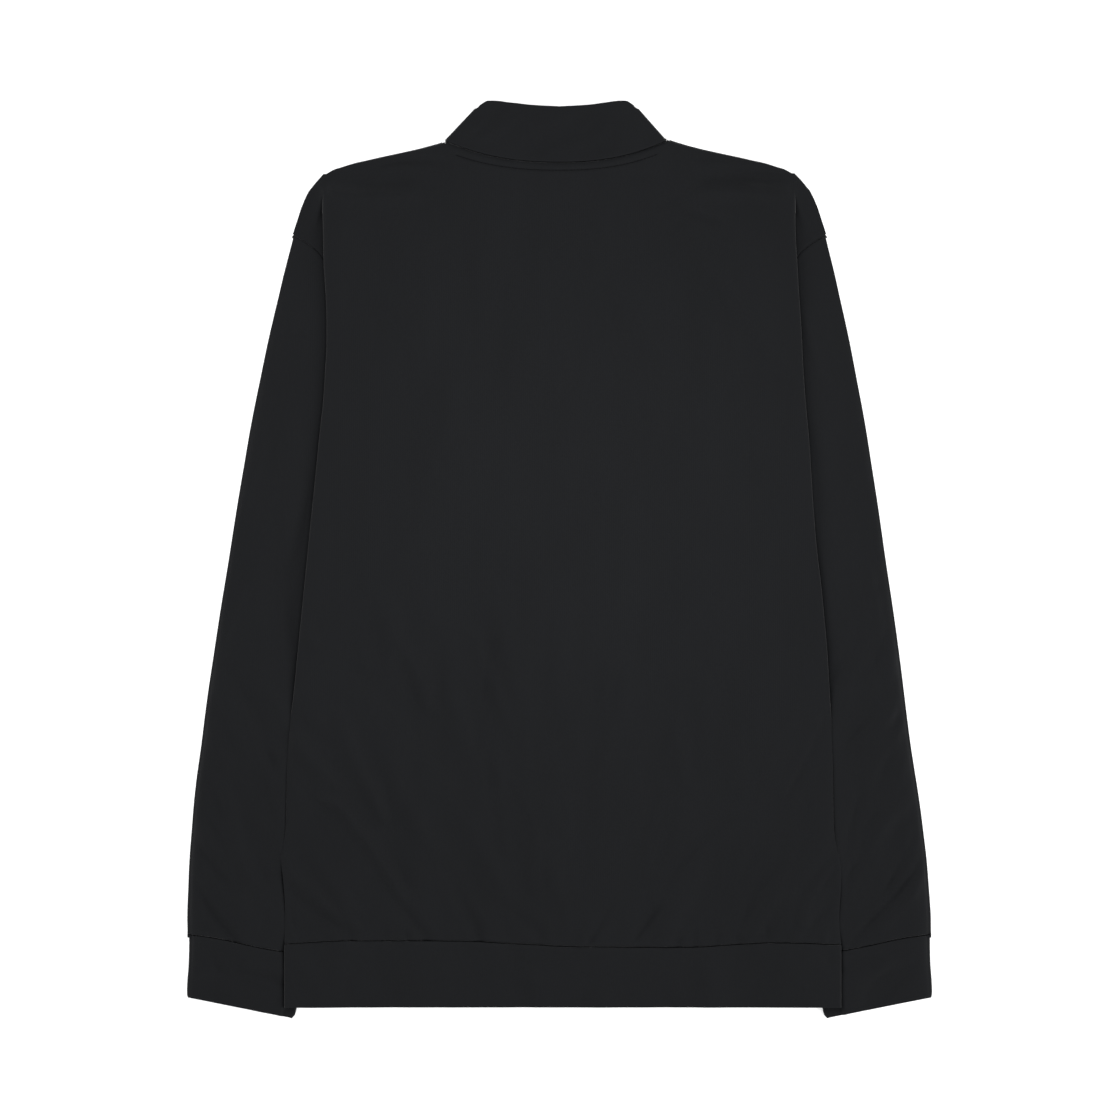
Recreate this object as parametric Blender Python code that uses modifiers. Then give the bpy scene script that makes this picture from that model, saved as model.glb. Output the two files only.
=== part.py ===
"""Track jacket, zipped up, lying face down and laid out flat with its sleeves down its sides.

The sides of the body are folded under, so each side is a stack of cloth: sleeve, back, front, front
and back again, one PITCH apart. Tables and sizes are in millimetres. X runs across the jacket, Y from
hem to collar, and Z up from the surface it lies on. A point of a piece is on the middle of its cloth,
and cloth() then gives it a wall on both sides.
"""

from collections import namedtuple
from math import cos, exp, pi, sin

import bmesh
import bpy
import numpy as np
from mathutils import Matrix, Vector

MM = 0.001
WALL = 1.0  # body and sleeve cloth
DOUBLED = 2.0  # cuffs, hem band and collar, of doubled cloth
PITCH = 1.6  # from one layer of cloth to the next in a stack
SEAM_GAP = 0.3
TURN_GAP = 0.9  # where two turned edges meet at a seam, along the middle of their cloth
LEFT, RIGHT = -1, 1

# Heights in the stack at the folded sides, from the surface up
SLEEVE_UNDER = WALL / 2
SLEEVE_OVER = SLEEVE_UNDER + PITCH
BACK_RETURN = SLEEVE_OVER + PITCH
FRONT_RETURN = BACK_RETURN + PITCH
FRONT_TOP = FRONT_RETURN + PITCH
SIDE_LIFT = FRONT_TOP - SLEEVE_UNDER  # how far the stack lifts the front off the surface

# The fold at each side: outer radii of the two turns, for the back and the front
WIDE_TURN = 1.5 * PITCH
TIGHT_TURN = 0.5 * PITCH
RAMP = 75.0  # width over which a panel comes down from the stack

ROOT_HEIGHT = -321.0  # level of the hem seam
FOLD_FOOT = -245.0  # the folded sides run from here ...
ARMPIT_HEIGHT = 100.0
FOLD_HEAD = 290.0  # ... to here, just under the shoulders
NECK_FOOT = 170.0  # the front's rows are drawn together above this
HEM_EDGE = -376.0
PLACKET = 4.5  # from the centre line to the edge of each front
FRONT_NECK = 277.0  # front neck point
BACK_NECK = 334.0
NECK_SIDE = 352.5  # where the neck seam meets the shoulder
FRONT_COLLAR_TOP = 332.0
FRONT_REST = WALL / 2
CENTRE_CLEARANCE = 3.2  # from front to back along the centre, over the zip

SHOULDER_TOP = 320.0  # height of the shoulder where the fold meets it
NECK_STEPS, SHOULDER_STEPS = 5, 6
LAST = NECK_STEPS + SHOULDER_STEPS  # the column at the side's turn
SLEEVE_STEPS = 15
SLEEVE_LOFT = 2.2
CUFF_TOP = -314.0  # outer end of the seam between sleeve and cuff
CUFF_INNER, CUFF_INNER_TOP, CUFF_FOOT = 221.5, -329.0, -384.9  # its inner edge
CUFF_RISE = 3.6  # height of the cuff's upper wall
CUFF_NOTCH = 0.6  # how far the cuff's seam draws the sleeve's edge in

Edge = namedtuple("Edge", "height left right")
Point = namedtuple("Point", "out height")
Cuff = namedtuple("Cuff", "out height inward")
Fold = namedtuple("Fold", "x0 y0 x1 y1 rise width")
Level = namedtuple("Level", "height z")
Row = namedtuple("Row", "height share lift flat")

# The folded edge of the body, from the centre line
BODY_EDGE = [
    Edge(-321, 231.0, 236.5),
    Edge(-300, 230.5, 235.0),
    Edge(-270, 232.0, 236.5),
    Edge(-248, 234.0, 235.0),
    Edge(-225, 230.0, 230.5),
    Edge(-170, 229.0, 229.7),
    Edge(-115, 223.5, 227.0),
    Edge(-30, 215.0, 220.5),
    Edge(20, 210.0, 215.0),
    Edge(100, 202.0, 209.5),
    Edge(155, 197.0, 205.0),
    Edge(195, 195.5, 203.0),
    Edge(250, 198.0, 199.5),
    Edge(290, 199.0, 198.0),
    Edge(320, 201.5, 201.5),
]

# The outer edge of the sleeves
SLEEVE_EDGE = [
    Edge(-314, 313.2, 312.8),
    Edge(-278, 312.0, 310.5),
    Edge(-227, 309.0, 305.5),
    Edge(-152, 300.5, 294.5),
    Edge(-76, 290.0, 285.0),
    Edge(0, 278.0, 274.0),
    Edge(75, 266.0, 263.0),
    Edge(151, 252.0, 250.0),
    Edge(226, 235.5, 234.5),
    Edge(271, 225.0, 224.5),
]

# How far the sides are folded under, at the armhole and down the body
FOLD_DEPTH = [Edge(-245, 4.0, 4.0), Edge(100, 92.0, 92.0), Edge(290, 1.0, 1.0)]

# The shoulder, from the neck to the top of the armhole seam
SHOULDER = [
    Point(90, NECK_SIDE),
    Point(109, 347.0),
    Point(126, 343.0),
    Point(160, 335.7),
    Point(182, 330.0),
    Point(196, 324.0),
    Point(207, 314.0),
    Point(214, 303.0),
    Point(219.5, 288.0),
    Point(225, 271.0),
]

# The armhole seam, from the shoulder down to the armpit, whose place comes from the depth of the fold
ARMHOLE = [
    Point(222.8, 272.3),
    Point(210.5, 264.5),
    Point(199.5, 254),
    Point(188, 236),
    Point(172, 206),
    Point(151, 165),
    Point(131, 130),
]
ARM_SHARES = [0, 0.05, 0.1, 0.1364, 0.2364, 0.3636, 0.4909, 0.6182, 0.7455, 0.8727, 1.0]

# The seam between body and hem band
HEM_SEAM = [
    Point(-231, -322.5),
    Point(-170, -319.8),
    Point(-100, -320.0),
    Point(-35, -322.5),
    Point(30, -325.0),
    Point(105, -325.3),
    Point(180, -321.5),
    Point(236, -323.0),
]

# The top edge of the collar's back, from its middle to its side fold
COLLAR_TOP = [
    Point(0, 380.4),
    Point(25, 381.8),
    Point(42, 383.8),
    Point(58, 385.2),
    Point(65, 382.8),
    Point(69, 379.0),
]
BACK_RISE = 3.2  # from front to back at the collar's side fold
HEM_LIFT = 5.2  # how far the cuffs lift the hem band
COLLAR_BASE = {LEFT: 96.5, RIGHT: 90.0}  # side fold at the neck seam
COLLAR_HEAD = {LEFT: 71.5, RIGHT: 66.5}  # and at the top edge

# The cuff's outer edge, and how far its inner edge lies in from the cuff's own width
CUFF_EDGE = [
    Cuff(311.0, -314.3, 0.0),
    Cuff(310.8, -336.0, -0.5),
    Cuff(312.0, -354.0, -1.0),
    Cuff(309.5, -363.0, 0.0),
    Cuff(304.0, -368.5, 3.0),
]
CUFF_SHARES = [0, 0.4, 0.75, 0.92, 1]

# The largest soft folds of the back
FOLDS = [
    Fold(-200, -205, -125, -288, 1.3, 13),
    Fold(-125, -288, -112, -316, -1.2, 12),
    Fold(-206, -290, -168, -316, -1.0, 11),
    Fold(208, -205, 186, -242, -1.0, 14),
    Fold(193, -252, 158, -318, 1.0, 13),
    Fold(83, -296, 62, -322, -1.1, 12),
    Fold(-190, 322, -126, 320, -0.9, 10),
    Fold(122, 318, 184, 322, -1.2, 10),
    Fold(130, 236, 156, 196, -0.8, 14),
    Fold(-136, 214, -130, 130, -0.7, 16),
    Fold(20, 240, 70, 60, 1.2, 60),
]

# The zip: how high the middle of its chain lies, clear of the slider's pull tab at the top
ZIP_LEVEL = [
    Level(-376, 2.65),
    Level(-330, 2.65),
    Level(-296, 1.9),
    Level(230, 1.9),
    Level(262, 2.65),
    Level(284, 3.3),
    Level(306, 4.15),
    Level(331, 4.15),
]
CHAIN_WIDTH, CHAIN_THICK = 5.0, 1.5
TAPE_WIDTH, TAPE_THICK = 11.2, 0.7
CHAIN_HEAD = 325.5
SLIDER_FOOT, SLIDER_HEAD = 318.0, 330.0
SLIDER_WIDTH, PLATE = 8.0, 0.8
SLIDER_CLEARANCE = 0.3
BRIDGE_FOOT, BRIDGE_HEAD = 319.0, 327.5  # the slider's bridge, which holds the pull tab's pin
TAB_AXIS = (321.4, 1.55)  # height up the jacket, and height over the surface
TAB_PIN, TAB_WIDTH, TAB_ARM, TAB_SLOT, TAB_REACH = 0.45, 6.0, 1.0, 7.5, 28.0

# The rows of the body, from the hem seam up to the armpit and to the head of the fold
BODY_ROWS = [-321, -300, -272, -248, -245, -215, -180, -140, -100, -60, -20, 20, 60, 100]
ARM_ROWS = [100, 128, 156, 184, 212, 240, 268, 290]
# Above it, each row's share of the way to the shoulder, its lift, and how flat the fold has become
SHOULDER_ROWS = [Row(290, 0.27, 6.0, 0.3), Row(290, 0.63, 3.2, 0.95), Row(290, 1, 0.8, 1)]


def column(rows, name):
    return [getattr(row, name) for row in rows]


def read(rows, key, value, at):
    """The value at this point of a table, read along straight lines between its rows."""
    return float(np.interp(at, column(rows, key), column(rows, value)))


def smooth(share):
    share = min(max(share, 0.0), 1.0)
    return share * share * (3 - 2 * share)


def mix(a, b, share):
    return a + (b - a) * share


def name_of(side):
    return "left" if side == LEFT else "right"


def body_edge(side, height):
    return read(BODY_EDGE, "height", name_of(side), height)


def sleeve_edge(side, height):
    return read(SLEEVE_EDGE, "height", name_of(side), height)


def turn_centre(side, height):
    """Where the fold's turn begins: the centre of its radius."""
    return body_edge(side, height) - WALL / 2 - edge_turn(height)


def edge_turn(height):
    """Radius of the back's turn at the side: wide where the side is folded under."""
    if height >= FOLD_FOOT:
        return WIDE_TURN
    return edge_pitch(height) / 2


def edge_pitch(height):
    """From front to back at the side, which opens to the doubled hem band."""
    return mix(PITCH + 1.0, PITCH, smooth((height - ROOT_HEIGHT) / (FOLD_FOOT - ROOT_HEIGHT)))


def fold_end(side, height):
    """Centre of the hidden inner turn."""
    depth = read(FOLD_DEPTH, "height", name_of(side), height)
    return body_edge(side, height) - WALL / 2 - WIDE_TURN - depth


def armpit(side):
    return fold_end(side, ARMPIT_HEIGHT) + 4.0


def sleeve_inner(side, height):
    """The sleeve's inner edge, from the armpit to the cuff."""
    share = (ARMPIT_HEIGHT - height) / (ARMPIT_HEIGHT - CUFF_INNER_TOP)
    return mix(armpit(side), CUFF_INNER, share)


def stack_start(side, height):
    """How near the centre line the hidden layers reach."""
    if height < ARMPIT_HEIGHT:
        return sleeve_inner(side, height) - 5.0
    return fold_end(side, min(height, FOLD_HEAD)) - 5.0


def stack_share(side, out, height):
    """0 where a panel lies on the surface, 1 where it lies on the stack."""
    return smooth((out - stack_start(side, height) + RAMP) / RAMP)


def full_lift(height):
    """The front's lift on the stack: a little less over the cuffs."""
    return mix(5.7, SIDE_LIFT, smooth((height - ROOT_HEIGHT) / (FOLD_FOOT - ROOT_HEIGHT)))


def soft_folds(x, height):
    rise = 0.0
    for fold in FOLDS:
        along = np.array([fold.x1 - fold.x0, fold.y1 - fold.y0])
        to_point = np.array([x - fold.x0, height - fold.y0])
        share = np.clip(to_point @ along / (along @ along), 0, 1)
        distance = np.linalg.norm(to_point - share * along)
        rise += fold.rise * exp(-((distance / fold.width) ** 2))
    return rise


def clearance(side, out, height):
    """From the front to the back: wider over the zip, and widest over its slider."""
    share = stack_share(side, out, height)
    at_zip = mix(CENTRE_CLEARANCE, edge_pitch(height), share)
    at_hem = 1.2 * (1 - share) * smooth((-270 - height) / 50)
    over_slider = 3.2 * exp(-((out / 45) ** 2) - ((height - 326) / 60) ** 2)
    return at_zip + at_hem + over_slider


def along(points, share):
    """A point and its outward direction at this share of a line's length."""
    path = np.array(points, float)
    steps = np.linalg.norm(np.diff(path, axis=0), axis=1)
    length = np.concatenate([[0], np.cumsum(steps)])
    at = share * length[-1]
    place = np.array([np.interp(at, length, path[:, k]) for k in (0, 1)])
    near = [np.clip(at + d, 0, length[-1]) for d in (-6, 6)]
    run = [np.array([np.interp(n, length, path[:, k]) for k in (0, 1)]) for n in near]
    run = (run[1] - run[0]) / np.linalg.norm(run[1] - run[0])
    return place, np.array([-run[1], run[0]])


# ---------------------------------------------------------------- points of the body


def neck_height(side, out, centre, power):
    return centre + (NECK_SIDE - centre) * (out / COLLAR_BASE[side]) ** power


def hem_seam(x):
    return read(HEM_SEAM, "out", "height", x)


def half_columns(side):
    """Shares of the half width: NECK_STEPS to the neck's end, then six along the shoulder."""
    neck = COLLAR_BASE[side] / turn_centre(side, FOLD_HEAD)
    return [neck * k / NECK_STEPS for k in range(NECK_STEPS)] + [
        mix(neck, 1, k / SHOULDER_STEPS) for k in range(SHOULDER_STEPS + 1)
    ]


def front_z(side, out, height, most):
    return FRONT_REST + most * stack_share(side, out, height)


def back_z(side, out, height, most, folded=1):
    above = clearance(side, out, height) + folded * soft_folds(side * out, height)
    return front_z(side, out, height, most) + max(above, WALL + SEAM_GAP)


def shoulder_start(side, out):
    """Where the panels begin to turn into the shoulder seam, the turn's direction and its radius."""
    outs, heights = column(SHOULDER, "out"), column(SHOULDER, "height")
    run = np.array([8.0, np.interp(out + 4, outs, heights) - np.interp(out - 4, outs, heights)])
    normal = np.array([-run[1], run[0]]) / np.linalg.norm(run)
    seam = np.array([out, np.interp(out, outs, heights)])
    radius = clearance(side, out, seam[1]) / 2
    return seam - normal * (WALL / 2 + radius), normal, radius


def column_top(side, k):
    """Top of a column of the back, on the neck seam or where the shoulder's turn begins."""
    out = half_columns(side)[k] * turn_centre(side, FOLD_HEAD)
    if k < NECK_STEPS:
        return np.array([out, neck_height(side, out, BACK_NECK, 2.3) - SEAM_GAP])
    return shoulder_start(side, out)[0]


def spot_of(side, k, row, is_front):
    """Plan position of column k in a row: distance from the centre line, and height."""
    foot = turn_centre(side, row.height)
    top, corner = column_top(side, k), column_top(side, LAST)
    out = mix(foot * half_columns(side)[k], top[0], row.share)
    height = mix(row.height, top[1], row.share)
    if is_front:
        edge = mix(foot, corner[0], row.share)
        out = PLACKET + out * (1 - PLACKET / edge)
        if k < NECK_STEPS and height > NECK_FOOT:
            low = neck_height(side, out, FRONT_NECK, 2.2) - SEAM_GAP
            height = NECK_FOOT + (height - NECK_FOOT) * (low - NECK_FOOT) / (top[1] - NECK_FOOT)
    if row.height == ROOT_HEIGHT:
        height = hem_seam(side * out) + SEAM_GAP / 2
    return out, height


def lift_of(row):
    return full_lift(row.height) if row.share == 0 else row.lift


def turned(side, spot, z, radius, row, angle):
    """A point of the turn at the side, which dies away up to the shoulder."""
    drop = radius * (1 - cos(angle)) * (1 - row.flat)
    return (side * (spot[0] + radius * sin(angle)), spot[1], z - drop)


def body_rows():
    return [Row(h, 0, 0, 0) for h in BODY_ROWS + ARM_ROWS[1:]] + SHOULDER_ROWS


def back_line(side, row):
    """The back from the centre line to the outermost point of its side."""
    line = []
    for k in range(LAST + 1):
        out, height = spot_of(side, k, row, False)
        line.append((side * out, height, back_z(side, out, height, lift_of(row), row.share < 1)))
    out, height = spot_of(side, LAST, row, False)
    radius = edge_turn(row.height)
    seam = pi / 2 if row.height >= FOLD_FOOT else pi / 2 - TURN_GAP / radius / 2
    for angle in (pi / 4, seam):
        line.append(turned(side, (out, height), line[LAST][2], radius, row, angle))
    return line


def front_line(side, row):
    line = []
    for k in range(LAST + 1):
        out, height = spot_of(side, k, row, True)
        line.append((side * out, height, front_z(side, out, height, lift_of(row))))
    return line


def front_lip(side, row):
    """The front's edge beside the fold, which joins the shoulder at its top."""
    spot, start = spot_of(side, LAST, row, True), front_line(side, row)[-1]
    reach = WIDE_TURN if row.share == 1 else TIGHT_TURN
    lip = [start]
    for angle in (pi / 4, pi / 2):
        drop = TIGHT_TURN * (1 - cos(angle)) * (1 - row.flat)
        lip.append((side * (spot[0] + reach * sin(angle)), spot[1], start[2] - drop))
    return lip


def front_upturn(side, row):
    """The front's edge below the fold, turned up to meet the back at the side seam."""
    spot, start = spot_of(side, LAST, row, True), front_line(side, row)[-1]
    radius = edge_turn(row.height)
    seam = pi / 2 - TURN_GAP / radius / 2
    return [start] + [
        (side * (spot[0] + radius * sin(a)), spot[1], start[2] + radius * (1 - cos(a)))
        for a in (pi / 4, seam)
    ]


def folded_under(side, height, first, radius, level):
    """From the outermost point of the turn, round its lower half and in to the hidden turn."""
    centre, end = turn_centre(side, height), fold_end(side, height)
    turn = [
        (side * (centre + radius * sin(a)), height, level + radius * (1 + cos(a)))
        for a in (3 * pi / 4, pi)
    ]
    run = [(side * mix(centre, end, k / 4), height, level) for k in (1, 2, 3, 4)]
    return [first] + turn + run


def inner_turn(side, height, radius, level):
    """The hidden turn, from the return down to the shoulder's own layer."""
    end = fold_end(side, height)
    return [
        (side * (end - radius * sin(a)), height, level - radius * (1 - cos(a)))
        for a in np.linspace(0, pi, 5)
    ]


def arm_share(row, height):
    """How far down the armhole seam a row ends: 0 at the shoulder, 1 at the armpit."""
    if row.share:
        height = mix(FOLD_HEAD, SHOULDER_TOP, row.share)
    return (SHOULDER_TOP - height) / (SHOULDER_TOP - ARMPIT_HEIGHT)


def armhole_point(side, share):
    path = [tuple(point) for point in ARMHOLE] + [(armpit(side), ARMPIT_HEIGHT)]
    return along(path, share)


def shoulder_wing(side, row, inner, level):
    """From the fold out to the armhole seam, the part of the shoulder that shows beyond the fold."""
    height = inner[1]
    rise = inner[2] - level
    if row.share == 1:
        outs = [abs(inner[0]), 207.5, 214.0, 219.5, 224.2]
        line = [inner]
        for k, out in enumerate(outs[1:], 1):
            spot = shoulder_start(side, out)[0]
            line.append((side * spot[0], spot[1], level + rise * (1 - k / 4) ** 2))
        return line
    outer = armhole_point(side, arm_share(row, height))[0]
    line = []
    for share in (0, 0.25, 0.5, 0.75, 1):
        x = mix(inner[0], side * outer[0], share)
        line.append((x, mix(height, outer[1], share), level + rise * (1 - share) ** 2))
    return line


def shoulder_turn(side, starts, downward):
    """The panel's edge along the shoulder, turned to the seam."""
    rows = [starts, [], []]
    for x, y, z in starts:
        _, normal, radius = shoulder_start(side, min(abs(x) + 1.5, 224))
        seam = pi / 2 - TURN_GAP / radius / 2
        for row, angle in zip(rows[1:], (pi / 4, seam)):
            reach, turn = radius * sin(angle), radius * (1 - cos(angle))
            z_here = z - turn if downward else z + turn
            row.append((x + side * normal[0] * reach, y + normal[1] * reach, z_here))
    return rows


def body_half(side, is_front):
    """The patches of half the back, or of one front."""
    line_of = front_line if is_front else back_line
    rows = body_rows()
    grid = [line_of(side, row) for row in rows]
    patches = [grid]
    outer, inner = (TIGHT_TURN, WIDE_TURN) if is_front else (WIDE_TURN, TIGHT_TURN)
    back_level = FRONT_RETURN if is_front else BACK_RETURN
    wing_level = SLEEVE_UNDER if is_front else SLEEVE_OVER
    folded = [row for row in rows if row.share == 0 and row.height >= FOLD_FOOT]
    arm = [row for row in folded if row.height >= ARMPIT_HEIGHT]
    top = [row for row in rows if row.share > 0]
    if is_front:
        lips = [front_lip(side, row) for row in folded + top]
        patches.append(lips)
        patches.append([front_upturn(side, row) for row in rows if row.height < FOLD_FOOT])
        edges = [lip[-1] for lip in lips]
    else:
        edges = [line[-1] for row, line in zip(rows, grid) if row in folded + top]
    patches.append(
        [folded_under(side, row.height, edge, outer, back_level) for row, edge in zip(folded, edges)]
    )
    turns = [inner_turn(side, row.height, inner, back_level) for row in arm]
    patches.append(turns)
    starts = [turn[-1] for turn in turns]
    for row, edge in zip(top, edges[len(folded) :]):
        starts.append(wing_start(side, row, edge, is_front))
    wing = [shoulder_wing(side, row, start, wing_level) for row, start in zip(arm + top, starts)]
    patches.append(wing)
    lip_end = lips[-1][1:-1] if is_front else []
    shoulder = grid[-1][NECK_STEPS:] + lip_end + wing[-1][0 if is_front else 1 :]
    patches.append(shoulder_turn(side, shoulder, not is_front))
    return patches


def wing_start(side, row, edge, is_front):
    """Inner end of a shoulder row above the fold's head, where the layers come together."""
    reach = WIDE_TURN - (TIGHT_TURN if is_front and row.share < 1 else WIDE_TURN)
    x = edge[0] + side * reach
    if row.flat < 0.5:
        return (x - side * 0.6, edge[1], (SLEEVE_UNDER if is_front else SLEEVE_OVER) + 0.3)
    return (x, edge[1], edge[2])


# ---------------------------------------------------------------- sleeves and cuffs


def cuff_seam(side, share):
    """The seam between sleeve and cuff, from its outer to its inner end."""
    outer = np.array([sleeve_edge(side, CUFF_TOP) - CUFF_NOTCH, CUFF_TOP])
    inner = np.array([CUFF_INNER, CUFF_INNER_TOP])
    spot = outer + (inner - outer) * share
    spot[1] = mix(outer[1], inner[1], mix(share, smooth(share), 0.7))
    return spot


def ring(side, outer, inner, under, over, loft, bend, wall):
    """A flattened tube from its outer to its inner edge: over, round, back under and round again."""
    radius = (over - under) / 2
    step = (inner - outer) / np.linalg.norm(inner - outer)
    start, end = outer + step * (wall / 2 + radius), inner - step * (wall / 2 + radius)
    shares = ARM_SHARES
    flat = [start + (end - start) * g + bend(g) for g in shares]
    top = [(side * p[0], p[1], over + loft(g)) for p, g in zip(flat, shares)]
    bottom = [(side * p[0], p[1], under) for p in reversed(flat)]
    turn, back = [], []
    for angle in (pi / 4, pi / 2, 3 * pi / 4):
        reach, drop = step * radius * sin(angle), radius * (1 - cos(angle))
        turn.append((side * (flat[-1][0] + reach[0]), flat[-1][1] + reach[1], over - drop))
        back.append((side * (flat[0][0] - reach[0]), flat[0][1] - reach[1], under + drop))
    return top + turn + bottom + back + top[:1]


def sleeve_rings(side):
    rings = []
    top = np.array([sleeve_edge(side, 271) - 0.6, 270.0])
    foot = np.array([armpit(side) + 1.2, ARMPIT_HEIGHT - 1.5])
    cuff_out, cuff_in = cuff_seam(side, 0), cuff_seam(side, 1)
    for k in range(SLEEVE_STEPS + 1):
        t = k / SLEEVE_STEPS
        high, low = mix(top[1], cuff_out[1], t), mix(foot[1], cuff_in[1], t)
        outer = np.array([min(sleeve_edge(side, high), mix(top[0], 320, t * 30)), high])
        inner = np.array([sleeve_inner(side, low), low])
        if t == 0:
            outer, inner = top, foot
        if t == 1:
            outer, inner = cuff_out, cuff_in

        def bend(g, t=t):
            seam, normal = armhole_point(side, g)
            at_arm = seam + SEAM_GAP * normal - (top + (foot - top) * g)
            at_cuff = cuff_seam(side, g) - (cuff_out + (cuff_in - cuff_out) * g)
            return at_arm * (1 - t) ** 3 + at_cuff * t**6

        shown = (outer[0] - body_edge(side, mix(high, low, 0.3))) / (outer[0] - inner[0])

        def loft(g, t=t, shown=shown):
            if shown < 0.1 or g >= shown:
                return 0.0
            return SLEEVE_LOFT * sin(pi * g / shown) * min(1.0, 4 * t) * smooth((1 - t) * 6)

        over = SLEEVE_OVER + 1.5 * smooth((t - 0.88) / 0.12)
        rings.append(ring(side, outer, inner, SLEEVE_UNDER, over, loft, bend, WALL))
    return rings


def cuff_rings(side):
    rings = []
    for edge, t in zip(CUFF_EDGE, CUFF_SHARES):
        outer = np.array([edge.out, edge.height])
        low = mix(CUFF_INNER_TOP - SEAM_GAP, CUFF_FOOT, t)
        inner = np.array([CUFF_INNER + edge.inward, low])

        def bend(g, t=t):
            straight = cuff_seam(side, 0) + (cuff_seam(side, 1) - cuff_seam(side, 0)) * g
            return (cuff_seam(side, g) - straight) * (1 - t)

        def flat(g):
            return 0.0

        rings.append(ring(side, outer, inner, DOUBLED / 2, CUFF_RISE, flat, bend, DOUBLED))
    return rings


# ---------------------------------------------------------------- hem band and collar


def hem_band_half(side):
    edge = body_edge(side, ROOT_HEIGHT)
    row = Row(ROOT_HEIGHT, 0, 0, 0)
    front = [spot_of(side, k, row, True)[0] for k in range(LAST + 1)]
    back = [spot_of(side, k, row, False)[0] for k in range(LAST + 1)]
    under_side = DOUBLED / 2 + HEM_LIFT
    over_side = back_z(side, back[-1], ROOT_HEIGHT, full_lift(ROOT_HEIGHT))
    radius = (over_side - under_side) / 2
    centre = edge - DOUBLED / 2 - radius
    squeeze = centre / back[-1]
    stations = []
    for out in front:
        lift = HEM_LIFT * stack_share(side, out, ROOT_HEIGHT)
        stations.append((out * squeeze, DOUBLED / 2 + lift))
    for angle in (pi / 4, pi / 2, 3 * pi / 4):
        stations.append((centre + radius * sin(angle), under_side + radius * (1 - cos(angle))))
    for out in reversed(back):
        stations.append((out * squeeze, back_z(side, out, ROOT_HEIGHT, full_lift(ROOT_HEIGHT))))
    rows = []
    for share in (0, 0.5, 1):
        row = []
        for out, z in stations:
            top = hem_seam(side * out) - SEAM_GAP / 2
            row.append((side * out, mix(top, HEM_EDGE, share), z))
        rows.append(row)
    return rows


def collar_half(side):
    """The collar's half, from its front end round its side fold to the middle of the back."""
    base, head = COLLAR_BASE[side], COLLAR_HEAD[side]
    steps = range(NECK_STEPS + 1)
    corner = BACK_RISE + DOUBLED / 2
    radius = (corner - DOUBLED / 2) / 2
    inset = DOUBLED / 2 + radius
    shoulder = SHOULDER_ROWS[-1]
    foot_front = [spot_of(side, k, shoulder, True)[0] for k in range(NECK_STEPS)] + [base - inset]
    foot_back = [base - inset] + [column_top(side, k)[0] for k in reversed(range(NECK_STEPS))]
    head_front = [mix(PLACKET, head - inset, k / NECK_STEPS) for k in steps]
    head_back = [(head - inset) * k / NECK_STEPS for k in reversed(steps)]
    angles = (pi / 4, pi / 2, 3 * pi / 4)
    side_top = read(COLLAR_TOP, "out", "height", 69)
    foot, top = [], []
    for out in foot_front:
        foot.append((out, neck_height(side, out, FRONT_NECK, 2.2), DOUBLED / 2))
    for a in angles:
        foot.append((base - inset + radius * sin(a), NECK_SIDE - 1.0, DOUBLED / 2 + radius * (1 - cos(a))))
    for out in foot_back:
        z = max(corner, back_z(side, out, BACK_NECK, 0))
        foot.append((out, neck_height(side, out, BACK_NECK, 2.3), z))
    for out in head_front:
        rise = (out / (head - inset)) ** 2
        top.append((out, mix(FRONT_COLLAR_TOP, side_top - 1.5, rise), DOUBLED / 2))
    for a in angles:
        top.append((head - inset + radius * sin(a), side_top - 1.0, DOUBLED / 2 + radius * (1 - cos(a))))
    for out in head_back:
        top.append((out, read(COLLAR_TOP, "out", "height", out * 69 / (head - inset)), corner))
    rows = []
    for share in (0, 0.34, 0.67, 1):
        rows.append([
            (side * mix(a[0], b[0], share), mix(a[1], b[1], share), mix(a[2], b[2], share))
            for a, b in zip(foot, top)
        ])
    return rows


# ---------------------------------------------------------------- zip


def zip_z(height):
    return read(ZIP_LEVEL, "height", "z", height)


def zip_strip(start, end, head):
    """A flat strip along the zip between two distances from the centre line."""
    heights = [HEM_EDGE + 1.5, -330, -313, -296, -150, 0, 120, 230, 246, 262, 273, 284, 295, 306, 316, head]
    return [[(start, h, zip_z(h)), (end, h, zip_z(h))] for h in heights]


# ---------------------------------------------------------------- making the objects


def add_patch(bm, rows):
    grid = [[bm.verts.new(Vector(point) * MM) for point in row] for row in rows]
    for low, high in zip(grid, grid[1:]):
        for a, b, c, d in zip(low, low[1:], high[1:], high):
            bm.faces.new((a, b, c))
            bm.faces.new((a, c, d))


def material(name, colour, roughness, metallic=0.0):
    made = bpy.data.materials.new(name)
    made.use_nodes = True
    shader = made.node_tree.nodes["Principled BSDF"]
    shader.inputs["Base Color"].default_value = (*colour, 1.0)
    shader.inputs["Roughness"].default_value = roughness
    shader.inputs["Metallic"].default_value = metallic
    return made


def new_object(name, mesh, finish):
    obj = bpy.data.objects.new(name, mesh)
    obj.data.materials.append(finish)
    collection.objects.link(obj)
    return obj


def cloth(name, patches, wall, finish):
    """A wall of cloth on both sides of its middle surface, which the patches make up."""
    bm = bmesh.new()
    for rows in patches:
        add_patch(bm, rows)
    bmesh.ops.remove_doubles(bm, verts=bm.verts, dist=2e-6)
    bmesh.ops.recalc_face_normals(bm, faces=bm.faces)
    mesh = bpy.data.meshes.new(name)
    bm.to_mesh(mesh)
    bm.free()
    obj = new_object(name, mesh, finish)
    solidify = obj.modifiers.new("Wall", "SOLIDIFY")
    solidify.thickness = wall * MM
    solidify.offset = 0
    solidify.use_quality_normals = True
    return obj


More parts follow.
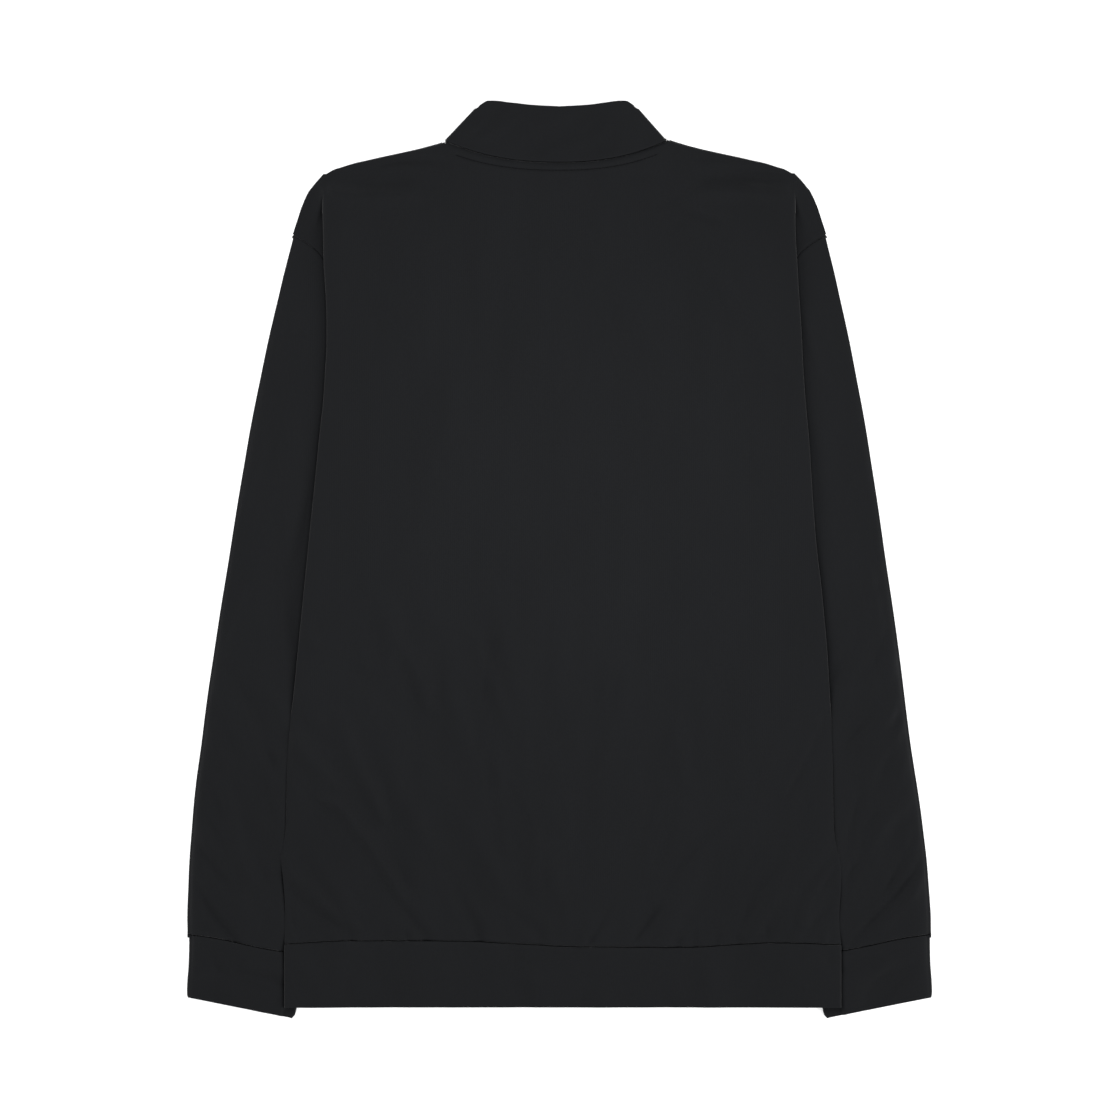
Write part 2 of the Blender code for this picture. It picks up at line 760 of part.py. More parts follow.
def box(low, high):
    """A box between two corners, as a mesh object of its own."""
    bm = bmesh.new()
    bmesh.ops.create_cube(bm, size=1)
    size = (Vector(high) - Vector(low)) * MM
    bmesh.ops.scale(bm, vec=size, verts=bm.verts)
    bmesh.ops.translate(bm, vec=(Vector(high) + Vector(low)) / 2 * MM, verts=bm.verts)
    mesh = bpy.data.meshes.new("Box")
    bm.to_mesh(mesh)
    bm.free()
    return mesh


def joined(name, first, others, finish):
    """The first mesh with the others joined to it."""
    obj = new_object(name, first, finish)
    for k, mesh in enumerate(others):
        helper = bpy.data.objects.new(f"{name}_helper_{k}", mesh)
        helper.hide_render = True
        helper.display_type = "WIRE"
        helpers.objects.link(helper)
        union = obj.modifiers.new(f"Join {k}", "BOOLEAN")
        union.operation = "UNION"
        union.object = helper
    return obj


def zip_slider(finish):
    middle = zip_z(SLIDER_FOOT + 1)
    half = CHAIN_THICK / 2 + SLIDER_CLEARANCE
    side = SLIDER_WIDTH / 2
    front_face = middle - half - PLATE
    back_plate = box((-side, SLIDER_FOOT, middle + half), (side, SLIDER_HEAD, middle + half + PLATE))
    front_plate = box((-side, SLIDER_FOOT, front_face), (side, SLIDER_HEAD, middle - half))
    post_low = (-1.8, CHAIN_HEAD + SLIDER_CLEARANCE, front_face + 0.3)
    post = box(post_low, (1.8, SLIDER_HEAD - 0.5, middle + half + 0.5))
    bridge = box((-0.9, BRIDGE_FOOT, 0.2), (0.9, BRIDGE_HEAD, 0.8))
    legs = []
    for foot in (BRIDGE_FOOT + 0.05, BRIDGE_HEAD - 0.95):
        legs.append(box((-0.9, foot, 0.4), (0.9, foot + 0.9, front_face + 0.4)))
    return joined("zip_slider", back_plate, [post, front_plate, *legs, bridge], finish)


def pull_tab(finish):
    """Modelled about its own pin, which is the joint's axis, lying towards the hem."""
    side, arm = TAB_WIDTH / 2, TAB_ARM
    pin = bmesh.new()
    radius = TAB_PIN * MM
    length = TAB_WIDTH * MM
    bmesh.ops.create_cone(pin, cap_ends=True, segments=16, radius1=radius, radius2=radius, depth=length)
    bmesh.ops.rotate(pin, matrix=Matrix.Rotation(pi / 2, 3, "Y"), verts=pin.verts)
    mesh = bpy.data.meshes.new("Pin")
    pin.to_mesh(mesh)
    pin.free()
    thick = TAB_PIN * 0.9
    arms = [box((x, -TAB_SLOT - 0.5, -thick), (x + arm, 0, thick)) for x in (-side, side - arm)]
    blade = box((-side + 0.01, -TAB_REACH, -thick + 0.01), (side - 0.01, -TAB_SLOT, thick - 0.01))
    obj = joined("zip_pull_tab", mesh, [arms[0], arms[1], blade], finish)
    axis = (0, TAB_AXIS[0] * MM, TAB_AXIS[1] * MM)
    obj.location = axis
    for union in obj.modifiers:
        union.object.location = axis
    return obj


def build():
    charcoal = (0.0167, 0.0176, 0.0194)
    back = [patch for side in (LEFT, RIGHT) for patch in body_half(side, False)]
    cloth("back_panel", back, WALL, material("Back cloth", charcoal, 0.8))
    for side in (LEFT, RIGHT):
        word = name_of(side)
        cloth(f"front_{word}", body_half(side, True), WALL, material(f"Front cloth {word}", charcoal, 0.8))
        cloth(f"sleeve_{word}", [sleeve_rings(side)], WALL, material(f"Sleeve cloth {word}", charcoal, 0.8))
        cloth(f"cuff_{word}", [cuff_rings(side)], DOUBLED, material(f"Cuff cloth {word}", charcoal, 0.82))
        edge = CHAIN_WIDTH / 2 + SEAM_GAP
        tape = zip_strip(side * edge, side * (edge + TAPE_WIDTH), CHAIN_HEAD)
        cloth(f"zip_tape_{word}", [tape], TAPE_THICK, material(f"Zip tape {word}", charcoal, 0.85))
    band = [hem_band_half(side) for side in (LEFT, RIGHT)]
    cloth("hem_band", band, DOUBLED, material("Band cloth", charcoal, 0.82))
    stand = [collar_half(side) for side in (LEFT, RIGHT)]
    cloth("collar", stand, DOUBLED, material("Collar cloth", charcoal, 0.82))
    chain = zip_strip(-CHAIN_WIDTH / 2, CHAIN_WIDTH / 2, CHAIN_HEAD)
    cloth("zip_chain", [chain], CHAIN_THICK, material("Zip chain", (0.02, 0.02, 0.022), 0.45))
    zip_slider(material("Slider enamel", (0.015, 0.015, 0.016), 0.35, 0.6))
    pull_tab(material("Tab enamel", (0.015, 0.015, 0.016), 0.35, 0.6))


for old in list(bpy.data.objects):
    bpy.data.objects.remove(old, do_unlink=True)
collection = bpy.data.collections.new("Track jacket")
helpers = bpy.data.collections.new("Joined shapes")
for made in (collection, helpers):
    bpy.context.scene.collection.children.link(made)
build()
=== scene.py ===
# %% [markdown]
# # A track jacket, zipped up and laid out face down
#
# The jacket lies flat on a table. The sides of its body are folded under and its sleeves lie down its
# sides, so the back, the two sleeves, the cuffs, the hem band and the collar are what shows. The packed
# model is the jacket in stiff, plain solids, and it is loaded first as a fixed frame. Each piece of cloth
# is then made again as a thin, creased sheet in the same place, from the jacket's own sizes.

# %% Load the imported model
from collections import namedtuple
from math import cos, pi, sin

import bmesh
import bpy
import numpy as np
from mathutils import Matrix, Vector


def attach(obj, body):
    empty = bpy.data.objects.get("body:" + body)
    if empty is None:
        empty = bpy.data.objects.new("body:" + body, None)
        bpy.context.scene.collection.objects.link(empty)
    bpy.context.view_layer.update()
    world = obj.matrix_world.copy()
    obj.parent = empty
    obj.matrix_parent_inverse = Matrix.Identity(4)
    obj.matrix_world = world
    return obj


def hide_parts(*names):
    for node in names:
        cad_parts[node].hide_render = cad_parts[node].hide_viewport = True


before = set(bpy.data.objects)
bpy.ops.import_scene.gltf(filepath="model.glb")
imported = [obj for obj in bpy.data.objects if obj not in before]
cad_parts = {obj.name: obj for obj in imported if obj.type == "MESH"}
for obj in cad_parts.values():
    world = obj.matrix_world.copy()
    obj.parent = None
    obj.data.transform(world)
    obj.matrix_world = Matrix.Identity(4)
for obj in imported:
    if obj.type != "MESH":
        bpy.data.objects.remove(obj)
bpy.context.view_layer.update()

print("solids:", sorted(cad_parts))

# %% [markdown]
# ## The jacket's sizes
#
# A flat garment is easiest to describe by its outlines: how far the folded edge of the body and the outer
# edge of the sleeves lie from the centre line at each height. The tables are in millimetres, X across the
# jacket, Y from hem to collar, Z up from the table. Heights in the stack of cloth are those of the middle
# of each layer.

# %% Sizes
MM = 0.001
LEFT, RIGHT = -1, 1
WALL, DOUBLED = 1.0, 2.0  # the solids' walls, which place the layers
PITCH, SEAM_GAP, TURN_GAP = 1.6, 0.3, 0.9
SEAM_OPEN = 0.36  # the sheets' edges stand this far apart, so that a seam shows as a groove
BAND_OPEN = 1.4  # and this far where a doubled band is sewn on
SLEEVE_UNDER = WALL / 2
SLEEVE_OVER = SLEEVE_UNDER + PITCH
BACK_RETURN = SLEEVE_OVER + PITCH
FRONT_RETURN = BACK_RETURN + PITCH
FRONT_TOP = FRONT_RETURN + PITCH
SIDE_LIFT = FRONT_TOP - SLEEVE_UNDER
WIDE_TURN, TIGHT_TURN = 1.5 * PITCH, 0.5 * PITCH
RAMP, RAMP_MARGIN = 75.0, 5.0  # a panel climbs to the stack over this width, and is up this much before it
HEM_STACK, HEM_PITCH = 5.7, PITCH + 1.0  # the stack at the hem, where nothing is folded
HEM, FOLD_FOOT, ARMPIT, FOLD_HEAD = -321.0, -245.0, 100.0, 290.0
NECK_FOOT, HEM_EDGE, PLACKET = 170.0, -376.0, 4.5
FRONT_NECK, BACK_NECK, NECK_SIDE, FRONT_COLLAR_TOP = 277.0, 334.0, 352.5, 332.0
CENTRE_CLEARANCE, SHOULDER_TOP = 3.2, 320.0
CUFF_TOP, CUFF_INNER, CUFF_INNER_TOP, CUFF_FOOT = -314.0, 221.5, -329.0, -384.9
CUFF_NOTCH, CUFF_RISE = 0.6, 3.6
CUFF_DEPTH, COLLAR_DEPTH, SLEEVE_LENGTH = 53.0, 46.0, 585.0
BACK_RISE, HEM_LIFT = 3.2, 5.2
FRONT_NECK_POWER, BACK_NECK_POWER = 2.2, 2.3  # how the neck's curve steepens towards its side
COLLAR_BASE = {LEFT: 96.5, RIGHT: 90.0}
COLLAR_HEAD = {LEFT: 71.5, RIGHT: 66.5}

Edge = namedtuple("Edge", "height left right")
Point = namedtuple("Point", "out height")
Row = namedtuple("Row", "height share lift flat")


def table(kind, *rows):
    return [kind(*row) for row in rows]


BODY_EDGE = table(
    Edge,
    (-321, 231, 236.5), (-300, 230.5, 235), (-270, 232, 236.5), (-248, 234, 235), (-225, 230, 230.5),
    (-170, 229, 229.7), (-115, 223.5, 227), (-30, 215, 220.5), (20, 210, 215), (100, 202, 209.5),
    (155, 197, 205), (195, 195.5, 203), (250, 198, 199.5), (290, 199, 198), (320, 201.5, 201.5),
)
SLEEVE_EDGE = table(
    Edge,
    (-314, 313.2, 312.8), (-278, 312, 310.5), (-227, 309, 305.5), (-152, 300.5, 294.5), (-76, 290, 285),
    (0, 278, 274), (75, 266, 263), (151, 252, 250), (226, 235.5, 234.5), (271, 225, 224.5),
)
FOLD_DEPTH = table(Edge, (-245, 4, 4), (100, 92, 92), (290, 1, 1))
SHOULDER = table(
    Point,
    (90, NECK_SIDE), (109, 347), (126, 343), (160, 335.7), (182, 330), (196, 324), (207, 314), (214, 303),
    (219.5, 288), (225, 271),
)
ARMHOLE = table(
    Point,
    (222.8, 272.3), (210.5, 264.5), (199.5, 254), (188, 236), (172, 206), (151, 165), (131, 130),
)
HEM_SEAM = table(
    Point,
    (-231, -322.5), (-170, -319.8), (-100, -320), (-35, -322.5), (30, -325), (105, -325.3), (180, -321.5),
    (236, -323),
)
COLLAR_TOP = table(Point, (0, 380.4), (25, 381.8), (42, 383.8), (58, 385.2), (65, 382.8), (69, 379))
CUFF_EDGE = table(Point, (311, -314.3), (311.4, -336), (312.6, -354), (312.9, -363.5), (312.2, -367.4))
CUFF_SHARES = [0, 0.4, 0.75, 0.92, 1]
CUFF_INWARD = [0, -0.5, -1.0, 0, 3.0]
# Above the folded sides, by share of the way to the shoulder: how high a panel lies, how flat the fold is
OPENED = 0.63  # from this share on the fold is all but flat
SHOULDER_RISE = table(Row, (0, 0, SIDE_LIFT, 0), (0, 0.27, 6, 0.3), (0, OPENED, 3.2, 0.95), (0, 1, 0.8, 1))
ZIP_HEIGHTS = [-376, -330, -296, 230, 262, 284, 306, 331]
ZIP_LEVELS = [2.65, 2.65, 1.9, 1.9, 2.65, 3.3, 4.15, 4.15]
CHAIN_HEAD = 325.5
print("body", BODY_EDGE[0].left + BODY_EDGE[0].right, "mm wide at the hem")

# %% [markdown]
# ## Reading the tables
#
# A table gives a value at a few heights only. Straight lines between them would leave corners in every
# edge, so the values are read along a smooth curve that passes through each row and never swings past it.
# A short blend, `smooth`, does the same for anything that comes in gradually.

# %% Reading a table
TURN_ANGLES = np.linspace(0, pi / 2, 5)[1:]  # steps of a quarter of a turned edge


def smooth(share):
    share = np.clip(share, 0.0, 1.0)
    return share * share * (3 - 2 * share)


def mix(a, b, share):
    return a + (b - a) * share


def joined(*parts):
    return np.concatenate(parts)


def paired(*coordinates):
    """Separate coordinates put together as points."""
    return np.stack(coordinates, axis=-1)


def column(rows, name):
    return np.array([getattr(row, name) for row in rows], float)


def curve_through(xs, ys, at):
    """Value on a smooth curve through the points, which never swings past them."""
    xs, ys = np.asarray(xs, float), np.asarray(ys, float)
    steps, slopes = np.diff(xs), np.diff(ys) / np.diff(xs)
    before, after = slopes[:-1], slopes[1:]
    total = np.where(before + after == 0, 1, before + after)
    middle = np.where(before * after > 0, 2 * before * after / total, 0)
    ends = joined(slopes[:1], middle, slopes[-1:])
    at = np.clip(at, xs[0], xs[-1])
    k = np.clip(np.searchsorted(xs, at, side="right") - 1, 0, len(xs) - 2)
    t = (at - xs[k]) / steps[k]
    low, high = ys[k] + t * steps[k] * ends[k], ys[k + 1] - (1 - t) * steps[k] * ends[k + 1]
    return low + (high - low) * smooth(t)


def read(rows, key, value, at):
    return curve_through(column(rows, key), column(rows, value), at)


HALF_TURN = joined(TURN_ANGLES, pi / 2 + TURN_ANGLES[:-1])  # the steps of a half turn, without its end


def name_of(side):
    return "left" if side == LEFT else "right"


def body_edge(side, height):
    return read(BODY_EDGE, "height", name_of(side), height)


def sleeve_edge(side, height):
    return read(SLEEVE_EDGE, "height", name_of(side), height)


def hem_seam(x):
    return read(HEM_SEAM, "out", "height", x)


print("folded edge at the armpit:", float(body_edge(LEFT, ARMPIT)), "mm from the centre line")

# %% [markdown]
# ## How the layers lie on each other
#
# At each side the body is folded like a Z, so five layers lie on each other: sleeve, back, front, front,
# back. In the middle there are only two. A panel therefore runs flat along the middle and climbs to the
# top of the stack towards its side. These helpers give the place of the fold and the height of both panels.
# They work on whole rows of points at once, which keeps a fine mesh quick to make.

# %% The stack of layers
ARMPIT_OUT = 4.0  # the armpit lies this far outside the end of the fold
HEM_LOOSE, NECK_LOOSE = 1.2, 3.2  # how much farther apart the two panels lie at the hem and under the collar
NECK_BULGE = (45, 326, 60)  # the place under the collar: half its width, its height, half its length


def fold_end(side, height):
    """Centre of the hidden inner turn."""
    depth = np.interp(height, column(FOLD_DEPTH, "height"), column(FOLD_DEPTH, name_of(side)))
    return body_edge(side, height) - WALL / 2 - WIDE_TURN - depth


def armpit(side):
    return fold_end(side, ARMPIT) + ARMPIT_OUT


def sleeve_inner(side, height):
    return mix(armpit(side), CUFF_INNER, (ARMPIT - height) / (ARMPIT - CUFF_INNER_TOP))


def above_hem(height):
    return smooth((height - HEM) / (FOLD_FOOT - HEM))


def stack_share(side, out, height):
    """0 where a panel lies low, 1 where it lies on the stack."""
    outside = ARMPIT_OUT * (1 - smooth((height - ARMPIT) / 60))
    above = fold_end(side, np.minimum(height, FOLD_HEAD)) + outside
    start = np.where(height < ARMPIT, sleeve_inner(side, height), above)
    return smooth((out - start + RAMP_MARGIN + RAMP) / RAMP)


def full_lift(height):
    return mix(HEM_STACK, SIDE_LIFT, above_hem(height))


def edge_pitch(height):
    return mix(HEM_PITCH, PITCH, above_hem(height))


def edge_turn(height):
    return WIDE_TURN if height >= FOLD_FOOT else edge_pitch(height) / 2


def turn_centre(side, height):
    return body_edge(side, height) - WALL / 2 - edge_turn(height)


def clearance(side, out, height):
    """From the front to the back."""
    share = stack_share(side, out, height)
    at_zip = mix(CENTRE_CLEARANCE, edge_pitch(height), share)
    at_hem = HEM_LOOSE * (1 - share) * smooth((-270 - height) / 50)
    half_width, middle, half_length = NECK_BULGE
    at_neck = np.exp(-((out / half_width) ** 2) - ((height - middle) / half_length) ** 2)
    return at_zip + at_hem + NECK_LOOSE * at_neck


def front_z(side, out, height, lift):
    return WALL / 2 + lift * stack_share(side, out, height)


def back_z(side, out, height, lift):
    return front_z(side, out, height, lift) + np.maximum(clearance(side, out, height), WALL + SEAM_GAP)


def points(x, y, z, shown=0.0):
    """Rows of points, each with how much of the creasing it takes."""
    return paired(*np.broadcast_arrays(x, y, z, shown)).astype(float)


print("stack at the side:", round(float(back_z(LEFT, 220, 0, SIDE_LIFT)), 2), "mm to the middle of the back")

# %% [markdown]
# ## Rows across the body
#
# The body is drawn row by row, from the hem seam up. Each row starts at the centre line and runs out to
# the fold. Above the armpits the rows are drawn together into the neck seam and the sloping shoulder.

# %% Rows and columns
ROW_STEP = 3.2
NECK_COLUMNS, SHOULDER_COLUMNS, EDGE_COLUMNS = 33, 40, 9
SEAM_STEPS = [0.0, 0.4, 0.9, 1.5, 2.4, 3.8, 6.0]  # closer rows beside a seam
SHOULDER_SHARES = [0.06, 0.13, 0.2, 0.27, 0.34, 0.42, 0.5, 0.58, 0.66, 0.73, 0.78, 0.8, 0.815, 0.828]
SHOULDER_SHARES += [0.838, 0.848, 0.858, 0.868, 0.878, 0.89, 0.91, 0.93, 0.95, 0.97, 0.982, 0.99, 0.996, 1.0]
FRONT_STEP, FRONT_COARSE = 9.0, 3  # the fronts hardly show, so they take fewer rows and columns
EDGE_SHARE = 0.935  # the columns lie closer together from here out


def spaced(start, end, step):
    return list(np.linspace(start, end, max(2, int(round((end - start) / step)) + 1)))


def body_rows(step):
    heights = [HEM + d for d in SEAM_STEPS[:-1]] + spaced(HEM + SEAM_STEPS[-1], FOLD_FOOT - 3, step)
    heights += spaced(FOLD_FOOT, ARMPIT, step)
    heights += spaced(ARMPIT, FOLD_HEAD, step)[1:]
    rows = [Row(height, 0, full_lift(height), 0) for height in heights]
    for share in SHOULDER_SHARES:
        lift, flat = (float(read(SHOULDER_RISE, "share", key, share)) for key in ("lift", "flat"))
        rows.append(Row(FOLD_HEAD, float(share), lift, flat))
    return rows


def neck_curve(side, out, centre, power):
    return centre + (NECK_SIDE - centre) * (out / COLLAR_BASE[side]) ** power


def front_neck(side, out):
    return neck_curve(side, out, FRONT_NECK, FRONT_NECK_POWER)


def back_neck(side, out):
    return neck_curve(side, out, BACK_NECK, BACK_NECK_POWER)


def column_shares(side, coarse=1):
    neck = COLLAR_BASE[side] / turn_centre(side, FOLD_HEAD)
    in_neck = np.linspace(0, neck, NECK_COLUMNS // coarse + 1)[:-1]
    shoulder = np.linspace(neck, EDGE_SHARE, SHOULDER_COLUMNS // coarse + 1)
    at_edge = np.linspace(EDGE_SHARE, 1, EDGE_COLUMNS // coarse + 1)[1:]
    return joined(in_neck, shoulder, at_edge), len(in_neck)


def shoulder_start(side, out):
    """Where the panels begin to turn into the shoulder seam, the turn's direction and its radius."""
    outs, heights = column(SHOULDER, "out"), column(SHOULDER, "height")
    run = 8.0  # the slope is taken over this width
    rise = curve_through(outs, heights, out + run / 2) - curve_through(outs, heights, out - run / 2)
    length = np.hypot(run, rise)
    normal = np.stack([-rise / length, run / length])
    seam = np.stack([out, curve_through(outs, heights, out)])
    radius = clearance(side, out, seam[1]) / 2
    return seam - normal * (WALL / 2 + radius), normal, radius


def column_tops(side, shares, in_neck):
    out = shares * turn_centre(side, FOLD_HEAD)
    top = shoulder_start(side, out)[0]
    top[0, :in_neck] = out[:in_neck]
    top[1, :in_neck] = back_neck(side, out[:in_neck]) - BAND_OPEN
    return top


def spots(side, row, is_front, coarse=1):
    """Plan position of a row's points."""
    shares, in_neck = column_shares(side, coarse)
    foot, top = turn_centre(side, row.height), column_tops(side, shares, in_neck)
    out = mix(foot * shares, top[0], row.share)
    height = mix(row.height, top[1], row.share)
    if is_front:
        edge = mix(foot, top[0, -1], row.share)
        out = PLACKET + out * (1 - PLACKET / edge)
        low = front_neck(side, np.minimum(out, COLLAR_BASE[side])) - SEAM_OPEN
        drawn = NECK_FOOT + (height - NECK_FOOT) * (low - NECK_FOOT) / (top[1] - NECK_FOOT)
        in_neck_now = (np.arange(len(out)) < in_neck) & (height > NECK_FOOT)
        height = np.where(in_neck_now, drawn, height)
    if row.share == 0:
        at_seam = hem_seam(side * out) + BAND_OPEN / 2 - HEM
        height = height + at_seam * (1 - smooth((row.height - HEM) / 30))
    return out, height


print(len(body_rows(ROW_STEP)), "rows of", 2 * len(column_shares(LEFT)[0]), "points")

# %% [markdown]
# ## The fold at each side
#
# A fold in cloth is a half turn of small radius, a flat run back under the garment, and a tighter half
# turn the other way. The outer cloth makes the wide turn first and the tight one last, the inner cloth the
# other way round. `Layer` holds what differs between back and front, so one set of helpers draws both.

# %% Folding a panel
# (depth, reach) in mm: an edge dips into its seam and the cloth beside it puffs up
LIP_ROLL = [(0.3, 0.35), (-0.5, 4.5)]  # the piece that stands up beside the seam
SLOPE_ROLL = [(0.7, 1.6), (-0.2, 6.0)]  # the piece that slopes down to it
SHALLOW_ROLL = [(0.7, 0.8), (-0.4, 4.0)]
ROLL_REACH = 2.6  # the outer cloth rolls over the fold this much wider than its turn
Layer = namedtuple("Layer", "turn inner under wing")
BACK_LAYER = Layer(WIDE_TURN, TIGHT_TURN, BACK_RETURN, SLEEVE_OVER)
FRONT_LAYER = Layer(TIGHT_TURN, WIDE_TURN, FRONT_RETURN, SLEEVE_UNDER)


def seam_roll(distance, roll):
    """How far the cloth sinks at this distance from a seam."""
    return sum(depth * np.exp(-((distance / reach) ** 2)) for depth, reach in roll)


def seam_pull(side, out, height):
    """How far the back sinks beside its hem seam and its neck seam."""
    from_hem = height - hem_seam(side * out) - BAND_OPEN / 2
    from_neck = back_neck(side, np.minimum(out, COLLAR_BASE[side])) - height - BAND_OPEN
    outside = np.maximum(out - COLLAR_BASE[side], 0)
    return seam_roll(from_hem, LIP_ROLL) + seam_roll(np.hypot(from_neck, outside), SLOPE_ROLL)


def back_row(side, row):
    """From the centre line to the outermost point of the fold."""
    out, height = spots(side, row, False)
    z = back_z(side, out, height, row.lift) - seam_pull(side, out, height)
    radius = edge_turn(row.height)
    reach = ROLL_REACH * (1 - row.flat) + radius
    start = out[-1] + radius - reach  # the cloth begins to roll down here
    seam = pi / 2 if row.height >= FOLD_FOOT else pi / 2 - TURN_GAP / reach / 2
    first = np.arcsin(1 - radius / reach)
    angles = first + (seam - first) * TURN_ANGLES / (pi / 2)
    x = joined(out, start + reach * np.sin(angles))
    y = joined(height, np.full(len(angles), height[-1]))
    z = joined(z, np.full(len(angles), z[-1]))
    z -= radius * (1 - row.flat) * (1 - np.sqrt(1 - np.clip((x - start) / reach, 0, 1) ** 2))
    return points(side * x, y, z, smooth((out[-1] + radius - x) / 7))


def front_row(side, row):
    out, height = spots(side, row, True, FRONT_COARSE)
    from_zip, from_hem = smooth((out - 14) / 20), smooth((height - HEM - 8) / 25)
    free = (1 - stack_share(side, out, height)) * from_zip * from_hem
    return points(side * out, height, front_z(side, out, height, row.lift), -free)


def front_lip(side, row, start):
    """The front's edge within the back's turn."""
    reach = mix(TIGHT_TURN, WIDE_TURN, smooth((row.share - OPENED) / (1 - OPENED)))
    drop = TIGHT_TURN * (1 - np.cos(TURN_ANGLES)) * (1 - row.flat)
    lip = points(start[0] + side * reach * np.sin(TURN_ANGLES), start[1], start[2] - drop)
    return joined(start[None], lip)


def front_upturn(side, row, start):
    """The front's edge below the fold, turned up to the side seam."""
    radius = edge_turn(row.height)
    angles = TURN_ANGLES * (1 - TURN_GAP / radius / pi)
    x = start[0] + side * radius * np.sin(angles)
    lip = points(x, start[1], start[2] + radius * (1 - np.cos(angles)))
    return joined(start[None], lip)


def under_row(side, height, first, layer):
    """Round the lower half of the outer turn and in to the hidden turn."""
    centre, end = turn_centre(side, height), fold_end(side, height)
    angles = pi / 2 + TURN_ANGLES
    x, z = centre + layer.turn * np.sin(angles), layer.under + layer.turn * (1 + np.cos(angles))
    turn = points(side * x, height, z)
    run = points(side * np.linspace(centre, end, 7)[1:], height, layer.under)
    return joined(first[None], turn, run)


def inner_row(side, height, layer):
    angles = np.linspace(0, pi, 9)
    x = fold_end(side, height) - layer.inner * np.sin(angles)
    return points(side * x, height, layer.under - layer.inner * (1 - np.cos(angles)))


print("turns of", WIDE_TURN, "and", TIGHT_TURN, "mm")

# %% [markdown]
# ## The part of the shoulder beyond the fold
#
# The fold starts at the shoulder and gets deeper down to the armpit, so a narrow wing of the back shows
# between the crease and the armhole seam. At its top the fold's mouth closes until the panel is one smooth
# sheet. `mouth_row` draws that closing: it takes the shape of the fold at its head and flattens it.

# %% The wing and the shoulder seam
WING_SHARES = np.array([0, 0.125, 0.25, 0.375, 0.5, 0.625, 0.75, 0.85, 0.92, 0.965, 1])
WING_END = 224.2  # how far out the top of the wing reaches


def along(path, share):
    """Points and outward directions at these shares of a line's length."""
    path = np.array(path, float)
    length = joined([0], np.cumsum(np.hypot(*np.diff(path, axis=0).T)))
    at = np.asarray(share) * length[-1]

    def place(at):
        return paired(*[curve_through(length, path[:, k], at) for k in (0, 1)])

    near = 6  # the direction is taken over this much of the line on both sides
    run = place(np.clip(at + near, 0, length[-1])) - place(np.clip(at - near, 0, length[-1]))
    run = run / np.linalg.norm(run, axis=-1, keepdims=True)
    return place(at), paired(-run[..., 1], run[..., 0])


def armhole(side, share):
    return along([tuple(point) for point in ARMHOLE] + [(armpit(side), ARMPIT)], share)


def wing_row(side, row, inner, level):
    """From the fold out to the armhole seam."""
    height = mix(FOLD_HEAD, SHOULDER_TOP, row.share) if row.share else row.height
    outer = armhole(side, (SHOULDER_TOP - height) / (SHOULDER_TOP - ARMPIT))[0]
    x = mix(abs(inner[0]), outer[0], WING_SHARES)
    y = mix(inner[1], outer[1], WING_SHARES)
    top = shoulder_start(side, mix(abs(inner[0]), WING_END, WING_SHARES))[0]
    top[:, 0] = abs(inner[0]), inner[1]
    share = smooth((row.share - 0.5) / 0.5)
    x, y = mix(x, top[0], share), mix(y, top[1], share)
    width = np.hypot(x[-1] - x[0], y[-1] - y[0])
    roll = 0.5 * seam_roll((1 - WING_SHARES) * width, SHALLOW_ROLL) if level > SLEEVE_UNDER else 0
    return points(side * x, y, level + (inner[2] - level) * (1 - WING_SHARES) ** 2 - roll)


def mouth_closing(row):
    return smooth((row.flat - 0.25) / 0.7)


def wing_start(side, row, edge, reach, layer):
    """Inner end of the wing above the fold's head, drawn in and raised a little while the mouth is open."""
    closing = mouth_closing(row)
    x = edge[0] + side * (reach - 0.6 * (1 - closing))
    return np.array([x, edge[1], mix(layer.wing + 0.3, edge[2], closing), 0])


def mouth_row(row, edge, start, profile):
    """The fold's own curve between its outer edge and the wing, flatter in each row."""
    fall = (profile[:, 2] - profile[0, 2]) / (profile[-1, 2] - profile[0, 2])
    bulge = profile[:, 0] - mix(profile[0, 0], profile[-1, 0], fall)
    made = edge + (start - edge) * fall[:, None]
    made[:, 0] += bulge * (1 - mouth_closing(row))
    return made


def shoulder_turn(side, starts, direction):
    """The panel's edge along the shoulder, turned up or down to the seam."""
    _, normal, radius = shoulder_start(side, np.minimum(np.abs(starts[:, 0]) + 1.5, 224))
    rows = [starts]
    for angle in TURN_ANGLES[:, None] * (1 - TURN_GAP / radius / pi):
        made = starts.copy()
        made[:, 0] += side * normal[0] * radius * np.sin(angle)
        made[:, 1] += normal[1] * radius * np.sin(angle)
        made[:, 2] += direction * radius * (1 - np.cos(angle))
        rows.append(made)
    return np.array(rows)


# A sewn edge beyond its seam: how far it runs on, and how deep it lies there
ALLOWANCE = [(0.05, -0.55), (0.15, -0.95), (1.5, -1.0), (3.2, -1.0)]
BACK_TUCK, ARM_TUCK, FRONT_TUCK = 1.3, 0.6, -0.6  # that depth; a front's edge turns up


def tucked(edge, direction, depth):
    """The seam allowance: the edge run on under its neighbour."""
    rows = [edge]
    for reach, drop in ALLOWANCE:
        made = edge.copy()
        made[:, :2] += np.asarray(direction) * reach
        made[:, 2] += drop * depth
        rows.append(made)
    return np.array(rows)


